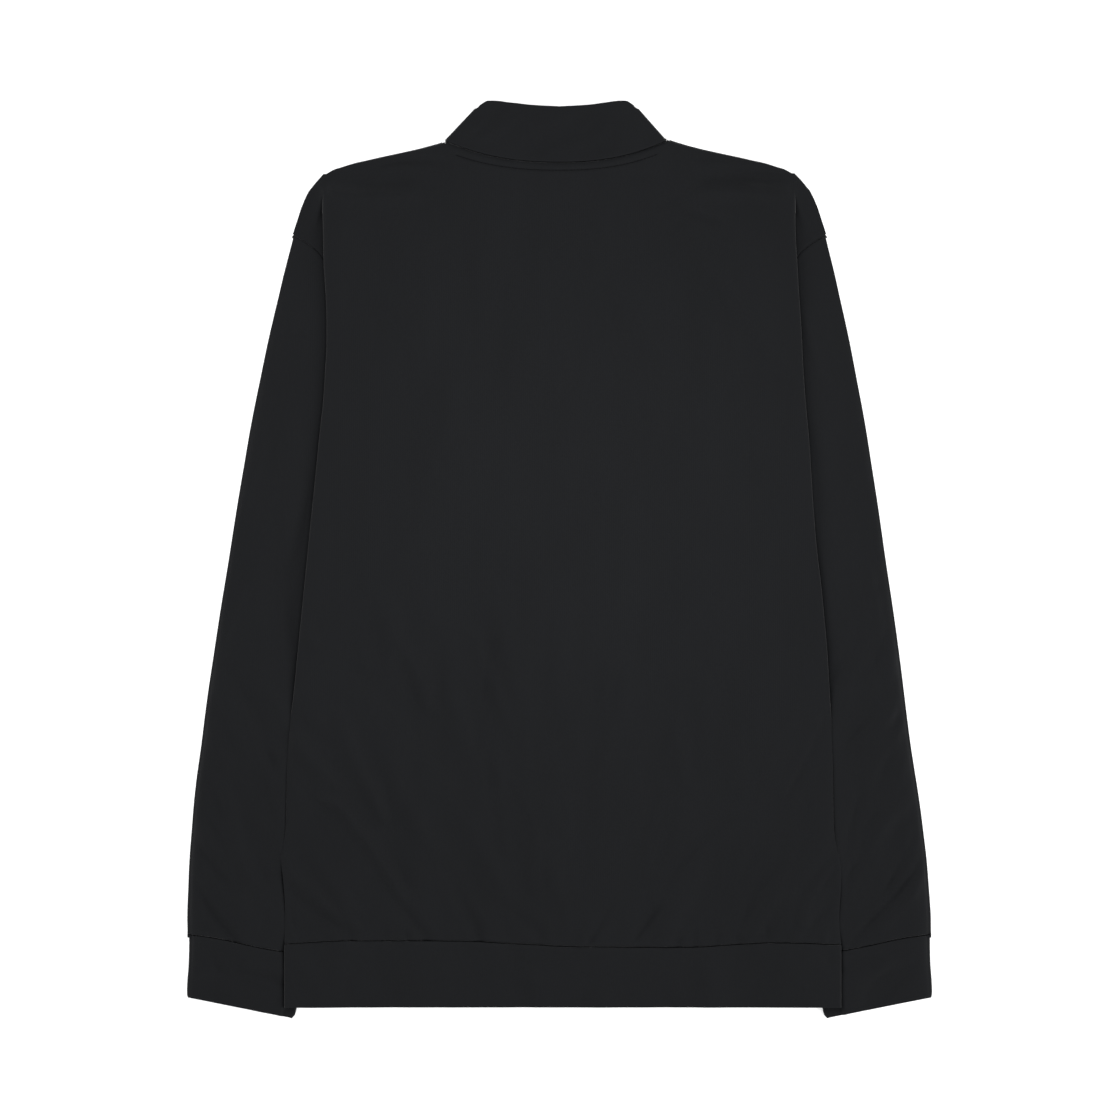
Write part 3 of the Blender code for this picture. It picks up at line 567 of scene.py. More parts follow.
def body_half(side, is_front):
    """The patches of half the back, or of one front."""
    layer, draw, step = (FRONT_LAYER, front_row, FRONT_STEP) if is_front else (BACK_LAYER, back_row, ROW_STEP)
    rows = body_rows(step)
    lines = [draw(side, row) for row in rows]
    patches = [np.array(lines)]

    def add(rows_of_points):
        patches.append(np.array(list(rows_of_points)))

    lower = [k for k, row in enumerate(rows) if row.height < FOLD_FOOT]
    folded = [k for k, row in enumerate(rows) if row.share == 0 and row.height >= FOLD_FOOT]
    arm = [k for k in folded if rows[k].height >= ARMPIT]
    top = [k for k, row in enumerate(rows) if row.share > 0]
    edges = {k: lines[k][-1] for k in folded + top}
    if is_front:
        lips = {k: front_lip(side, rows[k], lines[k][-1]) for k in folded + top}
        add(lips.values())
        add(front_upturn(side, rows[k], lines[k][-1]) for k in lower)
        edges = {k: lip[-1] for k, lip in lips.items()}
    unders = {k: under_row(side, rows[k].height, edges[k], layer) for k in folded}
    add(unders.values())
    inners = {k: inner_row(side, rows[k].height, layer) for k in arm}
    add(inners.values())
    starts = {k: inner[-1] for k, inner in inners.items()}
    profile = joined(unders[arm[-1]], inners[arm[-1]][1:])
    mouths = [profile]
    for k in top:
        reach = WIDE_TURN - abs(edges[k][0] - lines[k][-1][0]) if is_front else 0
        starts[k] = wing_start(side, rows[k], edges[k], reach, layer)
        mouths.append(mouth_row(rows[k], edges[k], starts[k], profile))
    add(mouths)
    wings = [wing_row(side, rows[k], starts[k], layer.wing) for k in arm + top]
    add(wings)
    in_neck = column_shares(side, FRONT_COARSE if is_front else 1)[1]
    if is_front:
        edge = lips[top[-1]]
        add(tucked(lines[0], (0, -1), FRONT_TUCK))
    else:
        edge = mouths[-1]
        add(tucked(lines[0], (0, -1), BACK_TUCK))
        add(tucked(lines[-1][: in_neck + 1], (0, 1), BACK_TUCK))
        normal = armhole(side, np.linspace(0, 1, len(wings)))[1]
        add(tucked(np.array([wing[-1] for wing in wings[::-1]]), normal * (side, 1), ARM_TUCK))
    shoulder = joined(lines[-1][in_neck:], edge[1:], wings[-1][1:])
    add(shoulder_turn(side, shoulder, 1 if is_front else -1))
    return patches


print("patches in half a back:", len(body_half(LEFT, False)))

# %% [markdown]
# ## Sleeves and cuffs
#
# A sleeve is a tube pressed flat: over the top, round the inner edge, back underneath and round the outer
# edge. It is drawn as a row of such rings from the armhole to the cuff seam. The shown part is a little
# lofted, because a sleeve keeps some air in it; the part under the body is pressed flat.

# %% Sleeves
RING_SHARES, SLEEVE_RINGS = np.linspace(0, 1, 58), 142
# Rows across a band, close together beside its seam
BAND_SHARES = joined([0, 0.006, 0.013, 0.022, 0.034, 0.05, 0.072], np.linspace(0.1, 1, 18))
SLEEVE_LOFT, LOWER_LOFT, CUFF_LOFT = 5.0, 5.6, 4.2  # how high upper arm, lower arm and cuff stand
EDGE_ROUND = 15.0  # they reach that height this far in from the outer edge
BODY_DIP, LOWER_DIP = 52.0, 1.3  # and sink towards the body over this width
TUCKED_UNDER = 1.8  # the lower arm stands up this far in under the body's edge, twice that near the hem
CUFF_UNDER, CUFF_SINK = 2.5, 4.0  # the cuff stands up this far in under the band, then sinks over this width
HELD_UP = 0.6  # by the hem the hidden part keeps this share of the height
DRAWN_OUTER, DRAWN_INNER = 0.6, 0.8  # both edges are drawn in this much at the armhole
CUFF_THICKER = 1.5  # the tube opens this much where the cuff's seam lies in it


def cuff_seam(side, share):
    outer = np.array([sleeve_edge(side, CUFF_TOP) - CUFF_NOTCH, CUFF_TOP])
    inner = np.array([CUFF_INNER, CUFF_INNER_TOP])
    share = np.asarray(share, float)
    along_y = mix(outer[1], inner[1], mix(share, smooth(share), 0.7))
    return paired(mix(outer[0], inner[0], share), along_y)


def round_edge(from_edge):
    """The share of its height that a rounded edge has reached this far in."""
    return np.sqrt(1 - (1 - np.clip(from_edge / EDGE_ROUND, 0, 1)) ** 2)


def ring(side, outer, inner, levels, loft, bend, wall, shown):
    """A flattened tube from its outer to its inner edge, over the top and back underneath."""
    under, over = levels
    radius = (over - under) / 2
    step = (inner - outer) / np.linalg.norm(inner - outer)
    start, end = outer + step * (wall / 2 + radius), inner - step * (wall / 2 + radius)
    flat = start + (end - start) * RING_SHARES[:, None] + bend
    reach, drop = step * radius * np.sin(HALF_TURN)[:, None], radius * (1 - np.cos(HALF_TURN))
    turn, back = flat[-1] + reach, flat[0] - reach
    top = points(side * flat[:, 0], flat[:, 1], over + loft, shown)
    bottom = flat[::-2]
    return joined(
        top,
        points(side * turn[:, 0], turn[:, 1], over - drop),
        points(side * bottom[:, 0], bottom[:, 1], under, -np.broadcast_to(shown, len(flat))[::-2]),
        points(side * back[:, 0], back[:, 1], under + drop),
        top[:1],
    )


def cuff_loft(side):
    """How high the cuff stands, from its outer edge to where the hem band lies on it."""
    width = sleeve_edge(side, CUFF_TOP) - CUFF_INNER
    from_edge, seen = RING_SHARES * width, sleeve_edge(side, CUFF_TOP) - body_edge(side, HEM)
    return CUFF_LOFT * round_edge(from_edge) * smooth((seen + CUFF_UNDER - from_edge) / CUFF_SINK)


def sleeve_loft(side, t, outer, inner):
    """How high one ring of the sleeve stands, and how much creasing it takes."""
    middle, beside = mix(outer[1], inner[1], 0.5), mix(outer[1], inner[1], 0.6)
    width = np.linalg.norm(inner - outer)
    seen = float((outer[0] - body_edge(side, mix(outer[1], inner[1], 0.3))) / (outer[0] - inner[0]))
    from_edge = RING_SHARES * width
    held_up = HELD_UP * smooth((FOLD_FOOT - beside) / 25) * smooth((1 - RING_SHARES) * 9)
    upper = smooth((middle + 150) / 180)
    dip, full = mix(LOWER_DIP, BODY_DIP, upper), mix(LOWER_LOFT, SLEEVE_LOFT, upper)
    under = TUCKED_UNDER * (1 - upper) + TUCKED_UNDER * smooth((FOLD_FOOT + 12 - beside) / 25)
    to_body = np.maximum(seen * width + under - from_edge, 0)
    loft = full * round_edge(from_edge) * np.maximum(1 - np.exp(-((to_body / dip) ** 1.1)), held_up)
    loft = loft * smooth((seen - 0.08) / 0.2) * mix(0.35, 1, smooth(4 * t))
    loft = mix(cuff_loft(side), loft, smooth((1 - t) * 12))
    share = np.clip(RING_SHARES / max(seen, 0.02), 0, 1)
    shown = smooth(share * 6) * smooth((1 - share) * 6) * smooth((seen - 0.02) / 0.1)
    at_armhole = 0.5 * seam_roll(t * SLEEVE_LENGTH, SHALLOW_ROLL)
    at_cuff = seam_roll((1 - t) * SLEEVE_LENGTH, LIP_ROLL)
    return loft - shown * (at_armhole + at_cuff), shown


def sleeve(side):
    rings, near = [], np.array([0, 0.9, 1.9, 3.2]) / SLEEVE_LENGTH
    top = np.array([sleeve_edge(side, 271) - 0.6, 270.0])
    foot = np.array([armpit(side) + 1.2, ARMPIT - 1.5])
    cuff_out, cuff_in = cuff_seam(side, 0), cuff_seam(side, 1)
    seam, normal = armhole(side, RING_SHARES)
    straight = RING_SHARES[:, None]
    at_arm = seam + SEAM_OPEN * normal - (top + (foot - top) * straight)
    at_cuff = cuff_seam(side, RING_SHARES) - (cuff_out + (cuff_in - cuff_out) * straight)
    for t in joined(near, np.linspace(0.01, 0.99, SLEEVE_RINGS), 1 - near[::-1]):
        high, low = mix(top[1], cuff_out[1], t), mix(foot[1], cuff_in[1], t)
        drawn = 1 - smooth(t * 15)
        notched = CUFF_NOTCH * smooth((t - 0.97) / 0.03)
        outer = np.array([sleeve_edge(side, high) - (DRAWN_OUTER * drawn + notched), high])
        inner = np.array([sleeve_inner(side, low) + DRAWN_INNER * drawn, low])
        loft, shown = sleeve_loft(side, t, outer, inner)
        over = SLEEVE_OVER + CUFF_THICKER * smooth((t - 0.88) / 0.12)
        bend = at_arm * (1 - t) ** 3 + at_cuff * t**6
        rings.append(ring(side, outer, inner, (SLEEVE_UNDER, over), loft, bend, WALL, shown))
    last = rings[-1]
    inwards = np.clip((last[:, 2] - last[:, 2].mean()) / 1.2, -1, 1)  # down on the top, up underneath
    return [np.array(rings), tucked(last, (0, -1), 1.1 * inwards)]


def cuff(side):
    rings = []
    seam_line = cuff_seam(side, RING_SHARES)
    straight = cuff_seam(side, 0) + (cuff_seam(side, 1) - cuff_seam(side, 0)) * RING_SHARES[:, None]
    for t in BAND_SHARES:
        outer = np.array([curve_through(CUFF_SHARES, column(CUFF_EDGE, key), t) for key in ("out", "height")])
        inward = curve_through(CUFF_SHARES, CUFF_INWARD, t)
        opened = BAND_OPEN * (1 - t)
        outer[1] -= opened
        inner = np.array([CUFF_INNER + inward, mix(CUFF_INNER_TOP, CUFF_FOOT, t) - opened])
        shown = smooth(RING_SHARES * 8)
        bend = (seam_line - straight) * (1 - t)
        sunk = 0.7 * shown * seam_roll(t * CUFF_DEPTH, SLOPE_ROLL)
        raised = cuff_loft(side) * mix(1, 0.6, smooth(t)) - sunk  # lower towards its open end
        rings.append(ring(side, outer, inner, (DOUBLED / 2, CUFF_RISE), raised, bend, DOUBLED, shown))
    return [np.array(rings)]


print("sleeve:", sleeve(LEFT)[0].shape[:2], "cuff:", cuff(LEFT)[0].shape[:2])

# %% [markdown]
# ## Hem band and collar
#
# Both are bands of doubled cloth, pressed flat by the table: along the front, round the side and back along
# the back. They take the same columns as the body, so that their seams lie close along its edge.

# %% Hem band and collar
def hem_band(side):
    row = body_rows(ROW_STEP)[0]
    front, back = spots(side, row, True)[0], spots(side, row, False)[0]
    under = DOUBLED / 2 + HEM_LIFT
    over = float(back_z(side, back[-1], HEM, full_lift(HEM)))
    radius = (over - under) / 2
    centre = float(body_edge(side, HEM)) - DOUBLED / 2 - radius
    squeeze = centre / back[-1]
    upper = back[::-1]
    out = joined(front * squeeze, centre + radius * np.sin(HALF_TURN), upper * squeeze)
    z = joined(
        DOUBLED / 2 + HEM_LIFT * stack_share(side, front, HEM),
        under + radius * (1 - np.cos(HALF_TURN)),
        back_z(side, upper, HEM, full_lift(HEM)),
    )
    shown = joined(0 * front, 0 * HALF_TURN, smooth((centre - upper) / 8))
    seam = hem_seam(side * out) - BAND_OPEN / 2
    room = clearance(side, out, HEM) - DOUBLED
    rows = []
    for t in BAND_SHARES:
        sunk = seam_roll(t * (HEM_SEAM[0].height - HEM_EDGE), SLOPE_ROLL)
        rows.append(points(side * out, mix(seam, HEM_EDGE, t), z - shown * np.minimum(sunk, room), shown))
    return [np.array(rows)]


def collar(side):
    base, head, corner = COLLAR_BASE[side], COLLAR_HEAD[side], BACK_RISE + DOUBLED / 2
    radius = (corner - DOUBLED / 2) / 2
    inset = DOUBLED / 2 + radius
    base, head = base - inset, head - inset
    reach, rise = radius * np.sin(HALF_TURN), DOUBLED / 2 + radius * (1 - np.cos(HALF_TURN))
    last = COLLAR_TOP[-1]
    shares = np.linspace(0, 1, NECK_COLUMNS + 1)
    front_foot, back_foot = mix(PLACKET, base, shares), base * shares[::-1]
    foot_z = np.maximum(corner, back_z(side, back_foot, BACK_NECK, 0))
    foot = joined(
        points(front_foot, front_neck(side, front_foot), DOUBLED / 2),
        points(base + reach, NECK_SIDE - 1.0, rise),
        points(back_foot, back_neck(side, back_foot), foot_z, 1),
    )
    front_top, back_top = mix(PLACKET, head, shares), head * shares[::-1]
    front_height = mix(FRONT_COLLAR_TOP, last.height - 1.5, (front_top / head) ** 2)
    top = joined(
        points(front_top, front_height, DOUBLED / 2),
        points(head + reach, last.height - 1.0, rise),
        points(back_top, read(COLLAR_TOP, "out", "height", back_top * last.out / head), corner, 1),
    )
    rows = np.array([mix(foot, top, t) for t in BAND_SHARES])
    rows[..., 2] -= rows[..., 3] * seam_roll(BAND_SHARES[:, None] * COLLAR_DEPTH, LIP_ROLL)
    rows[..., 0] *= side
    return [rows]


print("hem band:", hem_band(LEFT)[0].shape[:2], "collar:", collar(LEFT)[0].shape[:2])

# %% [markdown]
# ## Creases
#
# Cloth that has been folded and laid down by hand has soft troughs and ridges. Each is given here as a
# short path with a rise and a width in millimetres. A rise below zero is a trough. A crease in real
# cloth pushes the cloth beside it the other way, so each one does that a little too. The mesh moves up and
# down only, and cloth that lies on the table can only crease upwards.

# %% Crease tables
Crease = namedtuple("Crease", "rise width path")

BACK_CREASES = table(
    Crease,
    (-3.3, 5, ((-189, 324), (-157, 317), (-126, 320))),
    (3, 6.5, ((-196, 311), (-160, 304), (-118, 308))),
    (3, 6.5, ((116, 308), (150, 309), (192, 308))),
    (-2.1, 3.6, ((-148, 331), (-126, 335), (-96, 334))),
    (-3.6, 5, ((124, 320), (152, 322), (183, 321))),
    (1.7, 5, ((118, 331), (156, 333), (187, 329))),
    (-1.2, 3.6, ((55, 320), (86, 323))),
    (-1.2, 3.6, ((82, 297), (100, 303))),
    (-1.2, 3.6, ((104, 294), (137, 284))),
    (-2.1, 6.5, ((131, 237), (156, 197))),
    (-2.4, 6.5, ((163, 189), (194, 148))),
    (-1.7, 5, ((156, 159), (144, 139))),
    (-2.1, 7.2, ((-136, 215), (-130, 148))),
    (4.1, 5.8, ((-200, -202), (-189, -205), (-170, -226), (-148, -255), (-126, -289))),
    (-3.3, 4.3, ((-128, -297), (-111, -319))),
    (-3.3, 5, ((-229, -277), (-206, -295), (-175, -315))),
    (-2.2, 5, ((-89, -279), (-65, -317))),
    (-2.4, 4.3, ((28, -320), (43, -293))),
    (-3.3, 4.3, ((63, -320), (84, -295))),
    (-2.8, 5, ((207, -205), (187, -242))),
    (-2.1, 4.3, ((196, -315), (203, -275))),
    (-2.4, 4.3, ((207, -317), (234, -275))),
    (2.7, 6.5, ((194, -252), (177, -286), (158, -317))),
    (-1.7, 3.6, ((223, -273), (234, -257))),
    (-1.8, 5.8, ((-42, -292), (-15, -318))),
    (-1.7, 5, ((0, -285), (1, -305))),
    (-2.1, 6.5, ((143, -222), (107, -252), (91, -275))),
    (1.8, 4.3, ((196, -249), (180, -270), (165, -288))),
    (2.1, 4.3, ((229, -259), (214, -277), (203, -305))),
    (1.2, 3, ((-43, -179), (-32, -199), (-20, -232), (-17, -249))),
    (2.4, 4.3, ((-231, -249), (-228, -262), (-218, -271))),
    (-1.2, 3, ((-227, -285), (-221, -320))),
    (3, 60, ((75, 215), (85, 70))),
    (1.6, 50, ((-80, 180), (-60, -60))),
)
SLEEVE_CREASES = {
    LEFT: table(
        Crease,
        (-2.7, 4.3, ((-307, -268), (-287, -304), (-273, -320))),
        (-1.5, 4.3, ((-298, -215), (-283, -243))),
        (-1.5, 4.3, ((-304, -239), (-276, -282))),
        (-1.2, 5, ((-291, -142), (-276, -168))),
        (-1.2, 4.3, ((-251, -155), (-237, -175))),
        (-1.2, 3.6, ((-310, -309), (-278, -315))),
    ),
    RIGHT: table(
        Crease,
        (-3, 4.3, ((307, -249), (288, -275), (261, -304), (243, -324))),
        (1.8, 4.3, ((313, -257), (294, -283), (269, -310))),
        (-1.5, 4.3, ((299, -226), (284, -263), (261, -290))),
        (-1.5, 4.3, ((274, -21), (252, -32))),
        (-1.2, 4.3, ((275, -58), (265, -88))),
        (-1.5, 5.8, ((285, -128), (268, -191))),
    ),
}
CUFF_CREASES = {
    LEFT: table(
        Crease,
        (-1.8, 4, ((-289, -339), (-284, -349))),
        (-2, 4, ((-271, -346), (-250, -350), (-229, -358))),
        (-1.3, 3, ((-272, -338), (-252, -343))),
        (-1.3, 3, ((-262, -356), (-240, -363))),
        (1.3, 6, ((-300, -352), (-276, -360))),
    ),
    RIGHT: table(Crease, (-1.3, 5, ((241, -340), (254, -333))), (-2, 6, ((257, -364), (284, -340)))),
}
BAND_CREASES = table(
    Crease,
    (-2.4, 12, ((-180, -336), (-165, -343))),
    (-2.4, 12, ((-33, -342), (0, -341), (34, -344))),
    (-2, 9, ((220, -331), (234, -336))),
    (-0.4, 4, ((226, -360), (232, -365))),
)
COLLAR_CREASES = table(Crease, (-2.2, 9, ((-16, 348), (13, 362), (42, 376))))


# %% Creasing a piece
HIDDEN_RISE = 0.5  # the cloth that lies on the table can only crease upwards, and this far
LEAST_ROOM = 0.05
HEADING_SPREAD = 0.16  # how far a scattered fold turns from its field's direction, in radians
PUCKERED, NECK_SPAN = (-222, 228), (-86.0, 81.0)  # where the hem seam is gathered and the neck stitched
TOPSTITCH = 7.3  # how far below the collar seam the neck is stitched down


def crease_line(path):
    """The crease's path as a smooth line of short steps."""
    path = np.array(path, float)
    if len(path) == 2:
        return path
    keys = np.arange(len(path))
    at = np.linspace(0, keys[-1], keys[-1] * 6 + 1)
    return paired(*[curve_through(keys, path[:, k], at) for k in (0, 1)])


def relief(x, y, creases):
    """Rise of the cloth in millimetres at each point."""
    total = np.zeros(x.shape)
    for crease in creases:
        line = crease_line(crease.path)
        nearest, place = np.full(x.shape, 1e9), np.zeros(x.shape)
        for k, (a, b) in enumerate(zip(line, line[1:])):
            run = b - a
            t = np.clip(((x - a[0]) * run[0] + (y - a[1]) * run[1]) / (run @ run), 0, 1)
            distance = np.hypot(x - a[0] - t * run[0], y - a[1] - t * run[1])
            closer = distance < nearest
            nearest = np.where(closer, distance, nearest)
            place = np.where(closer, (k + t) / (len(line) - 1), place)
        q = (nearest / (crease.width * (0.8 + 0.4 * place))) ** 2  # it widens along its path
        lower_ends = 1 - 0.45 * (2 * place - 1) ** 2
        total += crease.rise * lower_ends * (1 - 0.45 * q) * np.exp(-q)
    return total


def creased(patches, creases, room):
    """The patches with their creases. `room(x, y, z)` is how far a point may sink before it meets cloth."""
    made = []
    for patch in patches:
        patch = patch.copy()
        x, y, z, shown = np.moveaxis(patch, -1, 0)
        if shown.any():
            rise = relief(x, y, creases)
            depth = np.maximum(room(x, y, z), LEAST_ROOM)
            upper = np.where(rise < 0, depth * np.tanh(rise / depth), rise)
            under = HIDDEN_RISE * np.tanh(np.maximum(rise, 0) / HIDDEN_RISE)
            patch[..., 2] += np.where(shown > 0, upper, under) * np.abs(shown)
        made.append(patch)
    return made


def scattered(seed, count, xs, ys, heading, lengths, widths, rises):
    """Faint straight folds in a field; `heading(x, y)` is the angle they run at."""
    rng = np.random.default_rng(seed)
    folds = []
    for _ in range(count):
        x, y = rng.uniform(*sorted(xs)), rng.uniform(*ys)
        angle = heading(x, y) + rng.normal(0, HEADING_SPREAD)
        run = np.array([cos(angle), sin(angle)]) * rng.uniform(*lengths) / 2
        rise = rng.uniform(*rises) * rng.choice([-1, 1])
        ends = (x - run[0], y - run[1]), (x + run[0], y + run[1])
        folds.append(Crease(rise, rng.uniform(*widths), ends))
    return folds


def puckers(seed, direction, widths, rises):
    """Short gathers along the hem seam, where the longer edge was eased in."""
    rng = np.random.default_rng(seed)
    folds, (x, end) = [], PUCKERED
    while x < end:
        foot, reach = hem_seam(x), rng.uniform(4, 13) * direction
        rise, width = rng.uniform(*rises) * rng.choice([-1, 1]), rng.uniform(*widths)
        folds.append(Crease(rise, width, ((x, foot), (x + rng.normal(0, 0.3) * reach, foot + reach))))
        x += rng.uniform(7, 20)
    return folds




def neck_line(below, step=1.5):
    """A line along the back of the neck, this far below the collar seam."""
    line = []
    for x in np.arange(*NECK_SPAN, step):
        height = back_neck(LEFT if x < 0 else RIGHT, abs(x))
        line.append((x, height - below * mix(1, 1.25, (abs(x) / 90) ** 2)))
    return line


def stitched_down():
    """The shallow valley that a row of topstitching pulls into the back of the neck."""
    line = neck_line(TOPSTITCH, step=12.0)
    return [Crease(-1.0, 1.3, pair) for pair in zip(line, line[1:])]


FAN_FOOT = -560  # the lower back's folds spread from a point on the centre line at this height


def fan(x, y):
    return np.arctan2(y - FAN_FOOT, x)


def upper_back(x, y):
    return pi / 2 + 0.3 * np.sign(x)


def slanting(angle):
    return lambda x, y: angle


# Each field of folds: seed, count, box, the angle they run at, and their lengths, widths and rises
back_folds = BACK_CREASES + scattered(3, 90, (-220, 220), (-310, -40), fan, (30, 100), (5, 12), (0.6, 3))
back_folds += scattered(5, 36, (-190, 190), (-60, 310), upper_back, (30, 90), (7, 16), (0.3, 1.6))
back_folds += puckers(7, 1, (2.4, 3.8), (0.6, 2.0)) + stitched_down()
band_folds = BAND_CREASES + puckers(8, -1, (8, 12), (0.3, 0.9))
across = slanting(pi / 2 + 0.5)
band_folds += scattered(21, 30, (-220, 220), (-378, -336), across, (10, 34), (9, 15), (0.6, 1.8))
collar_folds = scattered(23, 12, (-70, 65), (345, 378), slanting(0.8), (14, 40), (4, 9), (0.6, 1.8))
collar_folds += COLLAR_CREASES
cuff_folds, sleeve_folds = {}, {}
for side in (LEFT, RIGHT):
    low, forearm, upper = [(side * a, side * b) for a, b in ((238, 302), (225, 305), (205, 280))]
    across, down, along_arm = slanting(side * 0.4), slanting(-side * 2.1), slanting(pi / 2 + side * 0.15)
    folds = scattered(25 + side, 10, low, (-372, -338), across, (12, 36), (5, 9), (0.5, 1.5))
    cuff_folds[side] = CUFF_CREASES[side] + folds
    folds = scattered(11 + side, 34, forearm, (-310, -100), down, (30, 80), (4, 9), (0.6, 2.2))
    folds += scattered(15 + side, 14, upper, (-100, 220), along_arm, (50, 120), (6, 12), (0.6, 2.2))
    sleeve_folds[side] = SLEEVE_CREASES[side] + folds
print(len(back_folds), "creases on the back")

# %% [markdown]
# ## From rows of points to cloth
#
# The patches share their edge points, so merging them by distance sews them into one open surface. A
# Solidify modifier then gives the cloth its thickness on both sides of that surface, and the modifier is
# applied so that the finished piece is a plain, closed mesh.

# %% Making a sheet
CLOTH, DOUBLED_CLOTH = 0.8, 1.9  # real thickness of the tricot, and of two layers of it
BAND_ROUND = 0.35  # a doubled edge is rounded off by this much
SEWN_WITHIN, SHORTEST_EDGE = 0.00002, 0.000005  # metres
SHARP = 1.0  # radians; a larger angle between two faces counts as an edge
pieces = {}


def add_patch(bm, patch):
    grid = [[bm.verts.new(Vector(p[:3]) * MM) for p in row] for row in patch]
    for low, high in zip(grid, grid[1:]):
        for a, b, c, d in zip(low, low[1:], high[1:], high):
            bm.faces.new((a, b, c, d))


def placed(name, data):
    """A new object with this data, linked into the scene."""
    obj = bpy.data.objects.new(name, data)
    bpy.context.scene.collection.objects.link(obj)
    return obj


def from_bmesh(name, bm):
    mesh = bpy.data.meshes.new(name)
    bm.to_mesh(mesh)
    bm.free()
    return placed(name, mesh)


def applied(obj):
    """Applies the object's modifiers and keeps it as a piece of the jacket."""
    bpy.context.view_layer.update()
    made = bpy.data.meshes.new_from_object(obj.evaluated_get(bpy.context.evaluated_depsgraph_get()))
    obj.modifiers.clear()
    old, obj.data = obj.data, made
    bpy.data.meshes.remove(old)
    pieces[obj.name] = obj


def triangles(obj):
    return f"{sum(len(face.vertices) - 2 for face in obj.data.polygons)} triangles"


def make_sheet(name, patches, thickness, rounded=0.0):
    bm = bmesh.new()
    for patch in patches:
        add_patch(bm, patch)
    bmesh.ops.remove_doubles(bm, verts=bm.verts, dist=SEWN_WITHIN)
    bmesh.ops.dissolve_degenerate(bm, edges=bm.edges, dist=SHORTEST_EDGE)
    bmesh.ops.recalc_face_normals(bm, faces=bm.faces)
    area = sum(face.calc_area() for face in bm.faces)
    obj = from_bmesh(name, bm)
    wall = obj.modifiers.new("Cloth", "SOLIDIFY")
    wall.thickness, wall.offset = thickness * MM, 0
    if rounded:
        edge = obj.modifiers.new("Rounded edge", "BEVEL")
        edge.width, edge.segments, edge.angle_limit = rounded * MM, 3, SHARP
    applied(obj)
    obj.data.shade_smooth()
    obj.data.set_sharp_from_angle(angle=SHARP)
    print(f"{name}: {area:.3f} m2 of cloth, {triangles(obj)}")


# %% The pieces of cloth
SPARE = 0.1  # a crease stays this far off the cloth below it
FREE_ROOM, STIFF_ROOM = 1.8, 0.6  # how far a doubled band may sink: on top, and near the table
ON_TOP = 3.0  # cloth that lies higher than this counts as on top


def back_half(side):
    def room(x, y, z):
        return clearance(side, np.abs(x), y) - CLOTH - SPARE

    return creased(body_half(side, False), back_folds, room)


def sleeve_room(x, y, z):
    return z - SLEEVE_OVER + PITCH - CLOTH - SPARE


def band_room(x, y, z):
    return np.where(z > ON_TOP, FREE_ROOM, STIFF_ROOM)


def front_room(x, y, z):
    return np.full(x.shape, STIFF_ROOM)


make_sheet("back_cloth", back_half(LEFT) + back_half(RIGHT), CLOTH)
for side in (LEFT, RIGHT):
    word = name_of(side)
    make_sheet(f"front_cloth_{word}", creased(body_half(side, True), back_folds, front_room), CLOTH)
    make_sheet(f"sleeve_cloth_{word}", creased(sleeve(side), sleeve_folds[side], sleeve_room), CLOTH)
    cuff_patches = creased(cuff(side), cuff_folds[side], band_room)
    make_sheet(f"cuff_cloth_{word}", cuff_patches, DOUBLED_CLOTH, BAND_ROUND)
for name, half, folds in (("hem_cloth", hem_band, band_folds), ("collar_cloth", collar, collar_folds)):
    patches = creased(half(LEFT) + half(RIGHT), folds, band_room)
    make_sheet(name, patches, DOUBLED_CLOTH, BAND_ROUND)

# %% [markdown]
# ## Finish: brushed polyester tricot
#
# The cloth is a warp-knitted polyester, dyed charcoal. It is matt, with a faint lift of light where it
# turns away from the eye, and a fine ribbing of wales about 1.8 mm apart that shows only close to.

# %% Materials
def linear(hex_colour):
    """An sRGB hex colour as the linear RGBA that shaders use."""
    channels = [int(hex_colour[k : k + 2], 16) / 255 for k in (1, 3, 5)]
    return [c / 12.92 if c <= 0.04045 else ((c + 0.055) / 1.055) ** 2.4 for c in channels] + [1.0]


def add_node(tree, kind, output, settings=(), links=()):
    """One output of a new node with its settings and its incoming links."""
    node = tree.nodes.new(kind)
    for key, value in dict(settings).items():
        if isinstance(key, str) and hasattr(node, key):
            setattr(node, key, value)
        else:
            node.inputs[key].default_value = value
    for key, source in dict(links).items():
        tree.links.new(source, node.inputs[key])
    return node.outputs[output]


def principled(name, settings):
    """A new material with its node tree and its shader."""
    made = bpy.data.materials.new(name)
    made.use_nodes = True
    shader = made.node_tree.nodes["Principled BSDF"]
    for key, value in settings.items():
        shader.inputs[key].default_value = value
    return made, made.node_tree, shader


def bumped(tree, shader, strength, distance, height):
    settings = {"Strength": strength, "Distance": distance}
    bump = add_node(tree, "ShaderNodeBump", "Normal", settings, {"Height": height})
    tree.links.new(bump, shader.inputs["Normal"])


